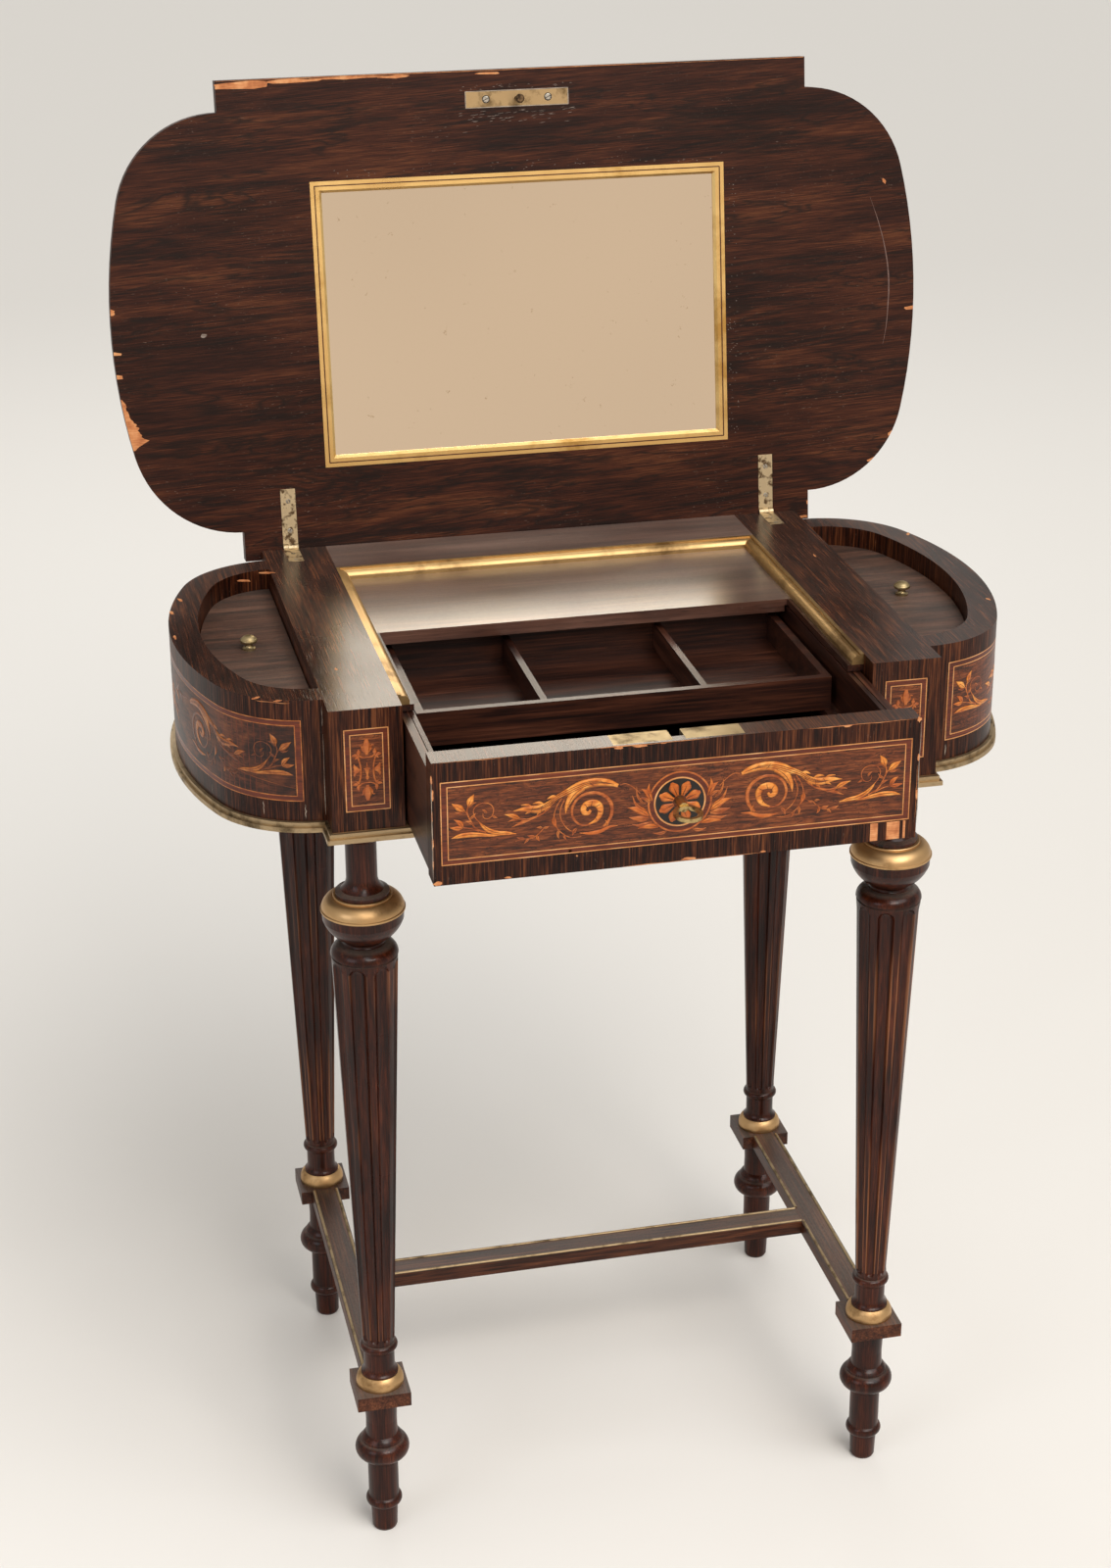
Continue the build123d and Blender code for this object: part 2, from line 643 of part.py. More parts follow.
rim_strip = board(OPENING_HALF, POST_OUT, -POST_INSIDE, POST_INSIDE, STRIP_BOTTOM, CASE_TOP)
save("rim_strip_right", rim_strip)
save("rim_strip_left", other_side(rim_strip))
outer_cheek = board(POST_OUT - CHEEK, POST_OUT, -POST_INSIDE, POST_INSIDE, CASE_FLOOR, STRIP_BOTTOM)
inner_cheek = board(
    OPENING_HALF, OPENING_HALF + CHEEK, -POST_INSIDE, POST_INSIDE, CASE_FLOOR, STRIP_BOTTOM
)
save("well_cheeks", group([outer_cheek, other_side(outer_cheek)]))
save("drawer_cheeks", group([inner_cheek, other_side(inner_cheek)]))

end_wall = make_end_wall()
save("end_wall_right", end_wall)
save("end_wall_left", other_side(end_wall))
end_floor = d_board(POST_OUT, END_REACH, END_HALF_DEPTH, END_SHOULDER, LEG_TOP, CASE_FLOOR)
save("well_floor_right", end_floor)
save("well_floor_left", other_side(end_floor))
battens = make_battens()
save("cover_battens", group(battens + [other_side(b) for b in battens]))

save(
    "case_bottom",
    board(-POST_OUT, POST_OUT, -CASE_HALF_DEPTH, CASE_HALF_DEPTH, LEG_TOP, CASE_FLOOR),
)
save(
    "back_panel",
    board(-OPENING_HALF, OPENING_HALF, PANEL_FRONT, CASE_HALF_DEPTH, CASE_FLOOR, STRIP_BOTTOM),
)
save(
    "back_rail",
    board(-OPENING_HALF, OPENING_HALF, RAIL_FRONT, CASE_HALF_DEPTH, STRIP_BOTTOM, CASE_TOP),
)
deck_half = SIDE_IN - DECK_SIDE_GAP
rear_deck = board(-OPENING_HALF, OPENING_HALF, DECK_FRONT, PANEL_FRONT, KICKER_BOTTOM, STRIP_BOTTOM)
rear_deck += board(-deck_half, deck_half, DECK_FRONT, PANEL_FRONT, DECK_BOTTOM, KICKER_BOTTOM)
save("rear_deck", rear_deck)
kicker = board(
    OPENING_HALF - KICKER_WIDTH,
    OPENING_HALF,
    -CASE_HALF_DEPTH + FRONT_THICK + 0.5,
    DECK_FRONT,
    KICKER_BOTTOM,
    STRIP_BOTTOM,
)
save("drawer_kickers", group([kicker, other_side(kicker)]))
runner = board(
    OPENING_HALF - RUNNER_WIDTH,
    OPENING_HALF,
    -CASE_HALF_DEPTH + FRONT_THICK + 0.5,
    PANEL_FRONT,
    CASE_FLOOR,
    CASE_FLOOR + RUNNER_THICK,
)
save("drawer_runners", group([runner, other_side(runner)]))
save("base_moulding", make_moulding())
save("brass_deck_strips", make_brass_strips())
case_leaf = make_case_leaf()
save("case_hinge_leaves", group([case_leaf, other_side(case_leaf)]))
hinge_pin = rod(
    HINGE_PIN,
    (HINGE_X - HINGE_WIDTH / 2, HINGE_Y, HINGE_Z),
    (HINGE_X + HINGE_WIDTH / 2, HINGE_Y, HINGE_Z),
)
save("hinge_pins", group([hinge_pin, other_side(hinge_pin)]))


# ---------------------------------------------------------------- well covers
def make_cover():
    start = POST_OUT + COVER_GAP
    shrink = END_WALL + COVER_GAP
    cover = d_board(
        start,
        END_REACH - shrink - COVER_GAP,
        END_HALF_DEPTH - shrink,
        END_SHOULDER - shrink,
        BATTEN_TOP,
        COVER_TOP,
    )
    hole = rod(KNOB_STEM + RUNNING, (KNOB_X, 0, BATTEN_TOP - 1), (KNOB_X, 0, COVER_TOP + 1))
    return cover - hole


def make_knob():
    z = COVER_TOP
    top = z + KNOB_HEIGHT
    return Pos(KNOB_X, 0, 0) * turned([
        (KNOB_STEM, BATTEN_TOP + 1.0),
        (KNOB_STEM, z),
        (KNOB_HEAD - 1.5, z),
        (KNOB_HEAD - 1.5, z + 1.2),
        (KNOB_STEM + 0.4, z + 2.6, KNOB_STEM + 0.4, z + 5.0),
        (KNOB_HEAD - 0.5, z + 5.6),
        (KNOB_HEAD, z + 7.0, KNOB_HEAD - 1.0, z + 8.6),
        (KNOB_HEAD / 2, top - 0.5, 0.01, top),
    ])


KNOB_X = POST_OUT + (END_REACH - END_WALL) * 0.48
cover = make_cover()
knob = make_knob()
save("well_cover_right", cover)
save("well_cover_left", other_side(cover))
save("cover_knob_right", knob)
save("cover_knob_left", other_side(knob))


# ---------------------------------------------------------------- drawer
GROOVE_Z = SIDE_BOTTOM + BOTTOM_RAISE
LOCK_TOP = FRONT_TOP - SELVEDGE_THICK
LOCK_BOTTOM = LOCK_TOP - LOCK_HEIGHT
LOCK_FRONT = FRONT_INSIDE - LOCK_DEPTH
NOTCH_FRONT = LOCK_PIN_Y - PIN_HEAD_RADIUS - 0.8
NOTCH_FLOOR = HINGE_Z - PIN_LENGTH - 1.0
SELVEDGE_FRONT = FRONT_INSIDE - SELVEDGE_WIDTH


def notch():
    """The slot that the lid's pin drops into, open towards the inside of the drawer."""
    half = NOTCH_WIDTH / 2
    return board(-half, half, NOTCH_FRONT, FRONT_INSIDE + 1, NOTCH_FLOOR, FRONT_TOP + 1)


def keyhole(radius, y0, y1):
    """A round hole with a slot below it for the bit of the key."""
    hole = rod(radius, (0, y0, KEY_Z), (0, y1, KEY_Z))
    half = KEY_BIT_THICK / 2 + 0.4
    return hole + board(-half, half, y0, y1, KEY_Z - KEY_BIT - 0.7, KEY_Z)


def make_drawer_front():
    half = OPENING_HALF - DRAWER_GAP
    front = board(-half, half, FRONT_FACE, FRONT_INSIDE, FRONT_BOTTOM, FRONT_TOP)
    front -= board(
        -LOCK_LENGTH / 2, LOCK_LENGTH / 2, LOCK_FRONT, FRONT_INSIDE + 1, LOCK_BOTTOM, LOCK_TOP
    )
    selvedge = board(
        -SELVEDGE_LENGTH / 2,
        SELVEDGE_LENGTH / 2,
        SELVEDGE_FRONT,
        FRONT_INSIDE + 1,
        LOCK_TOP,
        FRONT_TOP + 1,
    )
    bridge = board(
        -NOTCH_WIDTH / 2, NOTCH_WIDTH / 2, FRONT_FACE, NOTCH_FRONT, LOCK_TOP - 1, FRONT_TOP
    )
    front -= selvedge - bridge
    front -= rod(KEYHOLE_RING, (0, FRONT_FACE - 1, KEY_Z), (0, LOCK_FRONT + 1, KEY_Z))
    front -= keyhole(KEYHOLE_BORE, FRONT_FACE - 1, LOCK_FRONT + 1)
    groove = board(
        -SIDE_IN,
        SIDE_IN,
        FRONT_INSIDE - GROOVE_DEPTH,
        FRONT_INSIDE + 1,
        GROOVE_Z - RUN_GAP,
        GROOVE_Z + BOTTOM_THICK + RUN_GAP,
    )
    return front - groove


def make_drawer_side():
    side = board(SIDE_IN, SIDE_OUT, FRONT_INSIDE, DRAWER_REAR, SIDE_BOTTOM, SIDE_TOP)
    side -= board(
        SIDE_IN + SIDE_LINE,
        SIDE_IN + SIDE_LINE + LINE_WIDTH,
        FRONT_INSIDE - 1,
        DRAWER_REAR + 1,
        SIDE_TOP - LINE_WIDTH,
        SIDE_TOP + 1,
    )
    return side - board(
        SIDE_IN - 1,
        SIDE_IN + GROOVE_DEPTH,
        FRONT_INSIDE - 1,
        DRAWER_REAR + 1,
        GROOVE_Z - RUN_GAP,
        GROOVE_Z + BOTTOM_THICK + RUN_GAP,
    )


def make_lock_case():
    """Lock case let into the back of the front: thin walls, a thicker back plate and the pin
    that the key turns on."""
    half = LOCK_LENGTH / 2
    case = board(-half, half, LOCK_FRONT, FRONT_INSIDE, LOCK_BOTTOM, LOCK_TOP)
    case -= board(
        -half + LOCK_WALL,
        half - LOCK_WALL,
        LOCK_FRONT + LOCK_WALL,
        FRONT_INSIDE - LOCK_BACK,
        LOCK_BOTTOM + LOCK_WALL,
        LOCK_TOP - LOCK_WALL,
    )
    case -= keyhole(KEYHOLE_BORE, LOCK_FRONT - 1, LOCK_FRONT + LOCK_WALL + 0.5)
    case -= notch()
    case += rod(GUIDE_PIN, (0, LOCK_FRONT, KEY_Z), (0, FRONT_INSIDE - LOCK_BACK / 2, KEY_Z))
    return case


def make_selvedge():
    """Brass plates on the top edge of the drawer, one each side of the notch."""
    plate = board(
        NOTCH_WIDTH / 2,
        SELVEDGE_LENGTH / 2,
        SELVEDGE_FRONT,
        FRONT_INSIDE,
        LOCK_TOP,
        FRONT_TOP,
    )
    return group([plate, other_side(plate)])


def make_keyhole_ring():
    ring = rod(KEYHOLE_RING, (0, FRONT_FACE, KEY_Z), (0, LOCK_FRONT, KEY_Z))
    return ring - keyhole(KEYHOLE_BORE, FRONT_FACE - 1, LOCK_FRONT + 1)


def make_key():
    """Barrel key: bored shank, flat bit to the left, thicker neck and an oval bow."""
    tip = FRONT_INSIDE - LOCK_BACK - 0.4
    neck = FRONT_FACE + 1.5
    shoulder = neck - KEY_NECK_LENGTH
    key = rod(KEY_SHANK, (0, neck, KEY_Z), (0, tip, KEY_Z))
    key += rod(KEY_NECK, (0, shoulder, KEY_Z), (0, neck, KEY_Z))
    bit_end = BIT_REAR
    key += board(
        -KEY_BIT,
        -KEY_SHANK + 0.8,
        bit_end - KEY_BIT_LENGTH,
        bit_end,
        KEY_Z - KEY_BIT_THICK / 2,
        KEY_Z + KEY_BIT_THICK / 2,
    )
    key -= rod(GUIDE_PIN + RUNNING, (0, LOCK_FRONT - 0.5, KEY_Z), (0, tip + 1, KEY_Z))
    oval = Ellipse(BOW_WIDTH / 2, BOW_LENGTH / 2)
    oval -= Ellipse(BOW_WIDTH / 2 - BOW_WIRE, BOW_LENGTH / 2 - BOW_WIRE)
    bow = extrude(oval, BOW_WIRE / 2, both=True)
    return key + Pos(0, shoulder - BOW_LENGTH / 2 + 1.2, KEY_Z) * bow


def make_bolt():
    """Bolt of the lock: a hook plate with a slot for the stem of the lid's pin, on a tail."""
    tip = -NOTCH_WIDTH / 2 - 0.1
    slot = tip - 3.4
    back = -LOCK_LENGTH / 2 + LOCK_WALL + 1.0
    half = PIN_HEAD_RADIUS + 1.0
    top = HINGE_Z - PIN_LENGTH + BOLT_LIFT
    hook = board(back, tip, LOCK_PIN_Y - half, LOCK_PIN_Y + half, top - BOLT_HOOK, top)
    width = PIN_RADIUS + 0.4
    hook -= board(slot, tip + 1, LOCK_PIN_Y - width, LOCK_PIN_Y + width, top - 5, top + 1)
    hook -= rod(width, (slot, LOCK_PIN_Y, top - 5), (slot, LOCK_PIN_Y, top + 1))
    rear = LOCK_PIN_Y + half
    tail = board(
        back, slot - 3.0, rear - BOLT_PLATE, rear, KEY_Z + KEY_BIT + 1.5, top - BOLT_HOOK
    )
    return hook + tail


BOLT_LIFT = PIN_HEAD_HEIGHT + 3.2
BIT_REAR = LOCK_FRONT + LOCK_WALL + 0.6 + KEY_BIT_LENGTH
drawer_side = make_drawer_side()
save("drawer_front", make_drawer_front())
save("drawer_side_right", drawer_side)
save("drawer_side_left", other_side(drawer_side))
save(
    "drawer_back",
    board(
        -SIDE_IN,
        SIDE_IN,
        DRAWER_REAR - DRAWER_BACK_THICK,
        DRAWER_REAR,
        GROOVE_Z + BOTTOM_THICK,
        SIDE_TOP - DRAWER_BACK_DROP,
    ),
)
save(
    "drawer_bottom",
    board(
        -SIDE_IN - GROOVE_DEPTH + 0.5,
        SIDE_IN + GROOVE_DEPTH - 0.5,
        FRONT_INSIDE,
        DRAWER_REAR,
        GROOVE_Z,
        GROOVE_Z + BOTTOM_THICK,
    ),
)
ledge = board(
    SIDE_IN - LEDGE_WIDTH,
    SIDE_IN,
    FRONT_INSIDE,
    DRAWER_REAR - DRAWER_BACK_THICK,
    TRAY_BASE - RUN_GAP - LEDGE_THICK,
    TRAY_BASE - RUN_GAP,
)
save("tray_ledges", group([ledge, other_side(ledge)]))
save("lock_case", make_lock_case())
save("lock_selvedge", make_selvedge())
save("keyhole_ring", make_keyhole_ring())
save("lock_key", make_key())
save("lock_bolt", make_bolt())


# ---------------------------------------------------------------- sliding tray
def make_tray_walls():
    front = board(-TRAY_HALF, TRAY_HALF, TRAY_FRONT, TRAY_FRONT + TRAY_WALL, TRAY_BASE, TRAY_TOP)
    back = board(-TRAY_HALF, TRAY_HALF, TRAY_REAR - TRAY_WALL, TRAY_REAR, TRAY_BASE, TRAY_TOP)
    side = board(
        TRAY_HALF - TRAY_WALL,
        TRAY_HALF,
        TRAY_FRONT + TRAY_WALL,
        TRAY_REAR - TRAY_WALL,
        TRAY_BASE,
        TRAY_TOP,
    )
    return group([front, back, side, other_side(side)])


tray_inside = (TRAY_FRONT + TRAY_WALL, TRAY_REAR - TRAY_WALL)
tray_bottom = board(
    -TRAY_HALF + TRAY_WALL,
    TRAY_HALF - TRAY_WALL,
    *tray_inside,
    TRAY_BASE,
    TRAY_BASE + TRAY_BOTTOM,
)
divider = board(
    DIVIDER_X - DIVIDER_THICK / 2,
    DIVIDER_X + DIVIDER_THICK / 2,
    *tray_inside,
    TRAY_BASE + TRAY_BOTTOM,
    TRAY_TOP - 1.0,
)
save("tray_walls", make_tray_walls())
save("tray_bottom", tray_bottom)
save("tray_dividers", group([divider, other_side(divider)]))


# ---------------------------------------------------------------- lid
# The lid is drawn shut, with its underside at HINGE_Z, and then turned open about the hinge.
def opened(solid):
    axis = Axis((0, HINGE_Y, HINGE_Z), (1, 0, 0))
    return solid.rotate(axis, -LID_OPEN)


MIRROR_BACK = HINGE_Y - MIRROR_FROM_AXIS
MIRROR_FRONT = MIRROR_BACK - MIRROR_HEIGHT
REBATE = MIRROR_GLASS + MIRROR_FRAME_THICK


def make_lid_board():
    with BuildPart() as lid:
        with BuildSketch(Plane.XY.offset(HINGE_Z)):
            Rectangle(2 * LID_HALF_STRAIGHT, 2 * LID_HALF_DEPTH)
            right = d_sketch(
                LID_HALF_STRAIGHT,
                LID_REACH,
                LID_HALF_DEPTH - LID_STEP,
                LID_REACH * LID_ROUND,
            )
            add(right)
            add(mirror(right, about=Plane.YZ))
        extrude(amount=LID_THICK)
        top = lid.faces().sort_by(Axis.Z)[-1]
        fillet(top.edges(), 2.5)
    solid = lid.part
    solid -= board(
        -MIRROR_HALF_LENGTH,
        MIRROR_HALF_LENGTH,
        MIRROR_FRONT,
        MIRROR_BACK,
        HINGE_Z - 1,
        HINGE_Z + REBATE,
    )
    solid -= board(
        -STRIKE_LENGTH / 2,
        STRIKE_LENGTH / 2,
        PIN_Y - STRIKE_WIDTH / 2,
        PIN_Y + STRIKE_WIDTH / 2,
        HINGE_Z - 1,
        HINGE_Z + STRIKE_THICK,
    )
    half = HINGE_WIDTH / 2 + RUN_GAP
    for x in (-HINGE_X, HINGE_X):
        solid -= board(
            x - half, x + half, HINGE_Y - HINGE_LID_LEAF, HINGE_Y, HINGE_Z - 1, HINGE_Z + HINGE_LEAF
        )
        solid -= rod(
            KNUCKLE_RADIUS + KNUCKLE_CLEAR, (x - half, HINGE_Y, HINGE_Z), (x + half, HINGE_Y, HINGE_Z)
        )
    return solid


def make_mirror_glass():
    return board(
        -MIRROR_HALF_LENGTH,
        MIRROR_HALF_LENGTH,
        MIRROR_FRONT,
        MIRROR_BACK,
        HINGE_Z + MIRROR_FRAME_THICK,
        HINGE_Z + REBATE,
    )


def make_mirror_frame():
    """Four mitred strips, bevelled towards the glass."""
    outer = [
        (-MIRROR_HALF_LENGTH, MIRROR_FRONT),
        (MIRROR_HALF_LENGTH, MIRROR_FRONT),
        (MIRROR_HALF_LENGTH, MIRROR_BACK),
        (-MIRROR_HALF_LENGTH, MIRROR_BACK),
    ]
    inner = [
        (x - math.copysign(MIRROR_FRAME, x), y + (MIRROR_FRAME if y == MIRROR_FRONT else -MIRROR_FRAME))
        for x, y in outer
    ]
    strips = []
    for i in range(4):
        j = (i + 1) % 4
        with BuildSketch() as sketch:
            with BuildLine():
                Polyline(outer[i], outer[j], inner[j], inner[i], outer[i])
            make_face()
        strips.append(Pos(0, 0, HINGE_Z) * extrude(sketch.sketch, MIRROR_FRAME_THICK))
    wide = MIRROR_FRAME - 2.0
    slope = Pos(0, (MIRROR_FRONT + MIRROR_BACK) / 2, HINGE_Z) * extrude(
        Rectangle(2 * (MIRROR_HALF_LENGTH - wide), MIRROR_HEIGHT - 2 * wide), 2.0, taper=45
    )
    rim = 2 * (MIRROR_HALF_LENGTH - FRAME_BEAD)
    tall = MIRROR_HEIGHT - 2 * FRAME_BEAD
    line = Rectangle(rim, tall) - Rectangle(rim - 2 * LINE_WIDTH, tall - 2 * LINE_WIDTH)
    line = Pos(0, (MIRROR_FRONT + MIRROR_BACK) / 2, HINGE_Z - 0.5) * extrude(line, LINE_WIDTH + 0.5)
    return group([strip - slope - line for strip in strips])


def make_strike_plate():
    plate = board(
        -STRIKE_LENGTH / 2,
        STRIKE_LENGTH / 2,
        PIN_Y - STRIKE_WIDTH / 2,
        PIN_Y + STRIKE_WIDTH / 2,
        HINGE_Z,
        HINGE_Z + STRIKE_THICK,
    )
    hole = rod(PIN_RADIUS, (0, PIN_Y, HINGE_Z - 1), (0, PIN_Y, HINGE_Z + STRIKE_THICK + 1))
    return plate - hole


def make_strike_pin():
    """The mushroom pin that the lock holds, riveted through the strike plate."""
    tip = HINGE_Z - PIN_LENGTH
    return Pos(0, PIN_Y, 0) * turned([
        (PIN_HEAD_RADIUS - 1.0, tip),
        (PIN_HEAD_RADIUS, tip + 1.0),
        (PIN_HEAD_RADIUS, tip + PIN_HEAD_HEIGHT - 0.6),
        (PIN_RADIUS, tip + PIN_HEAD_HEIGHT),
        (PIN_RADIUS, HINGE_Z + STRIKE_THICK),
    ])


def make_lid_leaf():
    """Right-hand hinge leaf on the lid, with the middle knuckle."""
    half = HINGE_WIDTH / 2
    middle = KNUCKLE_MIDDLE / 2
    leaf = board(
        HINGE_X - half,
        HINGE_X + half,
        HINGE_Y - HINGE_LID_LEAF,
        HINGE_Y,
        HINGE_Z,
        HINGE_Z + HINGE_LEAF,
    )
    for side in (-1, 1):
        leaf -= rod(
            KNUCKLE_RADIUS + KNUCKLE_CLEAR,
            (HINGE_X + side * middle, HINGE_Y, HINGE_Z),
            (HINGE_X + side * HINGE_WIDTH, HINGE_Y, HINGE_Z),
        )
    leaf += rod(
        KNUCKLE_RADIUS, (HINGE_X - middle, HINGE_Y, HINGE_Z), (HINGE_X + middle, HINGE_Y, HINGE_Z)
    )
    return leaf - rod(
        HINGE_PIN + RUNNING,
        (HINGE_X - HINGE_WIDTH, HINGE_Y, HINGE_Z),
        (HINGE_X + HINGE_WIDTH, HINGE_Y, HINGE_Z),
    )


save("lid_board", opened(make_lid_board()))
save("mirror_glass", opened(make_mirror_glass()))
save("mirror_frame", opened(make_mirror_frame()))
save("strike_plate", opened(make_strike_plate()))
save("strike_pin", opened(make_strike_pin()))
lid_leaf = make_lid_leaf()
save("lid_hinge_leaves", opened(group([lid_leaf, other_side(lid_leaf)])))
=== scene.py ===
import json
import math
import random

import bmesh
import bpy
from mathutils import Matrix, Vector


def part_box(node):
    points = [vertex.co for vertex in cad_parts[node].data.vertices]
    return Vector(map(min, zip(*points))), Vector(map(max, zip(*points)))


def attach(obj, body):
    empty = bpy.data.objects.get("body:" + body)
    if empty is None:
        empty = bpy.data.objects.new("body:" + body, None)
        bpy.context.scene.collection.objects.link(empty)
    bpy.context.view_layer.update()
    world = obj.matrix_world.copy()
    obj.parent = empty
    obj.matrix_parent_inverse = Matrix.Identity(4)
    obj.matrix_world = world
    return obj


# Looks of a rosewood work and dressing table: veneers, scrolling marquetry, gilt brass, mirror.
# Metres, with sizes of the ornament in millimetres turned by MM.

MM = 0.001
random.seed(7)

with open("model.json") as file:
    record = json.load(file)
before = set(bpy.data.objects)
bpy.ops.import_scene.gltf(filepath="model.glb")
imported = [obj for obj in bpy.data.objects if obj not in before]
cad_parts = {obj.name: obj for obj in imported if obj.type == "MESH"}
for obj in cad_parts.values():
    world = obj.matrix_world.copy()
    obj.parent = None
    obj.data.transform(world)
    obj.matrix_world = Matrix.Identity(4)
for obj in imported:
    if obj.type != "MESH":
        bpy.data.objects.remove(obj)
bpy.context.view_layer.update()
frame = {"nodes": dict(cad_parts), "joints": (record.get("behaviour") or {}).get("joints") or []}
nodes = frame["nodes"]


# ------------------------------------------------------------------ places from the frame
def low(node):
    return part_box(node)[0]


def high(node):
    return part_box(node)[1]


CASE_TOP = high("rim_strip_right").z
CASE_FLOOR = low("end_wall_right").z
FACE_MIDDLE = (CASE_TOP + CASE_FLOOR) / 2
POST_OUT = low("end_wall_right").x
POST_IN = low("corner_post_front_right").x
POST_FACE = low("corner_post_front_right").y
END_REACH = high("end_wall_right").x - POST_OUT
END_HALF = high("end_wall_right").y
END_SHOULDER = END_REACH * 0.835      # radius of the two shoulders of a D end
DRAWER_FACE = low("drawer_front").y
DRAWER_HALF = high("drawer_front").x

LEG_X = (low("leg_front_right").x + high("leg_front_right").x) / 2
LEG_Y = (low("leg_back_right").y + high("leg_back_right").y) / 2
FLUTES = 8
FLUTE_HALF_ANGLE = math.radians(15.6)
FLUTES_LOW = low("leg_front_right").z + 45 * MM       # above the foot of the leg
FLUTES_HIGH = low("brass_leg_collars").z - 44 * MM    # below the collar
HINGE = next(j for j in frame["joints"] if j["name"] == "lid_hinge")
HINGE_AT = Vector(HINGE["pos_m"])
LID_ANGLE = math.radians(-HINGE["range_deg"][0])
LID_ALONG = Vector((0.0, -math.cos(LID_ANGLE), math.sin(LID_ANGLE)))
LID_OUT = Vector((0.0, -math.sin(LID_ANGLE), -math.cos(LID_ANGLE)))

# curve of a D end: a flat arc in the middle and two shoulders
FLAT_RADIUS = (END_REACH**2 + (END_HALF - END_SHOULDER) ** 2 - END_SHOULDER**2) / (
    2 * (END_REACH - END_SHOULDER)
)
FLAT_CENTRE = POST_OUT + END_REACH - FLAT_RADIUS
FLAT_ANGLE = math.atan2(END_HALF - END_SHOULDER, POST_OUT - FLAT_CENTRE)
FLAT_LENGTH = FLAT_RADIUS * FLAT_ANGLE
END_LENGTH = FLAT_LENGTH + END_SHOULDER * (math.pi / 2 - FLAT_ANGLE)

# ------------------------------------------------------------------ materials


def hex_colour(code):
    """sRGB hex to a linear colour."""
    channels = [int(code[i:i + 2], 16) / 255 for i in (1, 3, 5)]
    return [c / 12.92 if c <= 0.04045 else ((c + 0.055) / 1.055) ** 2.4 for c in channels] + [1.0]


def add(tree, kind, inputs=None, **settings):
    """One node with its settings; an input, named or numbered, is a value or the socket that
    feeds it."""
    node = tree.nodes.new(kind)
    for name, value in settings.items():
        setattr(node, name, value)
    for name, value in (inputs or {}).items():
        if isinstance(value, bpy.types.NodeSocket):
            tree.links.new(value, node.inputs[name])
        else:
            node.inputs[name].default_value = value
    return node


def new_material(name):
    """An empty material and its node tree."""
    material = bpy.data.materials.new(name)
    material.use_nodes = True
    material.node_tree.nodes.clear()
    return material, material.node_tree


def finish_material(tree, shader):
    add(tree, "ShaderNodeOutputMaterial", {"Surface": shader.outputs[0]})


def ramp(tree, factor, stops):
    """A colour ramp with (place, hex colour) stops."""
    node = add(tree, "ShaderNodeValToRGB", {"Fac": factor})
    elements = node.color_ramp.elements
    while len(elements) < len(stops):
        elements.new(0.5)
    for element, (place, code) in zip(elements, stops):
        element.position = place
        element.color = hex_colour(code)
    return node.outputs["Color"]


GRAIN_TURN = {
    "X": (0.0, 0.0, 0.0),
    "Y": (0.0, 0.0, -math.pi / 2),
    "Z": (0.0, math.pi / 2, 0.0),
}
FIGURE_WEIGHT = 1.3     # fine streaks and broad figure together
CLOUD_WEIGHT = 0.25
MIDDLE_TONE = (FIGURE_WEIGHT + CLOUD_WEIGHT) / 2
TOP_POLISH = 0.18       # how much less rough the handled tops are


def looking_up(tree):
    """1 on a face that looks straight up, 0 on an upright one."""
    normal = add(tree, "ShaderNodeNewGeometry").outputs["Normal"]
    return add(tree, "ShaderNodeSeparateXYZ", {"Vector": normal}).outputs["Z"]


def dark_lines(tree, base, noise, middle, start, reach, strength, code):
    """Thin dark lines where a noise crosses a level, as veins and old cracks run."""
    offset = add(tree, "ShaderNodeMath", {0: noise, 1: middle}, operation="SUBTRACT").outputs[0]
    away = add(tree, "ShaderNodeMath", {0: offset}, operation="ABSOLUTE").outputs[0]
    share = add(tree, "ShaderNodeMapRange", {
        "Value": away, "From Min": start, "From Max": reach, "To Min": strength, "To Max": 0.0,
    }).outputs["Result"]
    return add(tree, "ShaderNodeMix", {0: share, 6: base, 7: hex_colour(code)},
               data_type="RGBA").outputs[2]


def dust_and_sheen_tops(tree, base, grit, cloud, dust_sheen):
    """Grey dust and a painted sheen on faces that look up, thicker in some patches."""
    level = add(tree, "ShaderNodeMapRange", {
        "Value": looking_up(tree), "From Min": 0.75, "From Max": 0.95,
    }).outputs["Result"]
    mist = add(tree, "ShaderNodeMapRange", {
        "Value": grit, "From Min": 0.25, "From Max": 0.75, "To Min": dust_sheen * 0.55,
        "To Max": dust_sheen * 1.3,
    }).outputs["Result"]
    patch = add(tree, "ShaderNodeMapRange", {
        "Value": cloud, "From Min": 0.3, "From Max": 0.7, "To Min": 0.3, "To Max": 1.0,
    }).outputs["Result"]
    share = add(tree, "ShaderNodeMath", {0: level, 1: mist}, operation="MULTIPLY").outputs[0]
    share = add(tree, "ShaderNodeMath", {0: share, 1: patch}, operation="MULTIPLY").outputs[0]
    # pale grey over the tops: part dust, part painted sheen where light would glance off them
    return add(tree, "ShaderNodeMix", {0: share, 6: base, 7: hex_colour("#8d867c")},
               data_type="RGBA").outputs[2]


def scuffed_spots(tree, base, rub, area, scuffs):
    """Small pale scuffs, crowded in some areas."""
    fleck = add(tree, "ShaderNodeMapRange", {
        "Value": rub, "From Min": 0.66, "From Max": 0.74,
    }).outputs["Result"]
    where = add(tree, "ShaderNodeMapRange", {
        "Value": area, "From Min": 0.45, "From Max": 0.7, "To Max": scuffs,
    }).outputs["Result"]
    share = add(tree, "ShaderNodeMath", {0: fleck, 1: where}, operation="MULTIPLY").outputs[0]
    return add(tree, "ShaderNodeMix", {0: share, 6: base, 7: hex_colour("#9a8574")},
               data_type="RGBA").outputs[2]


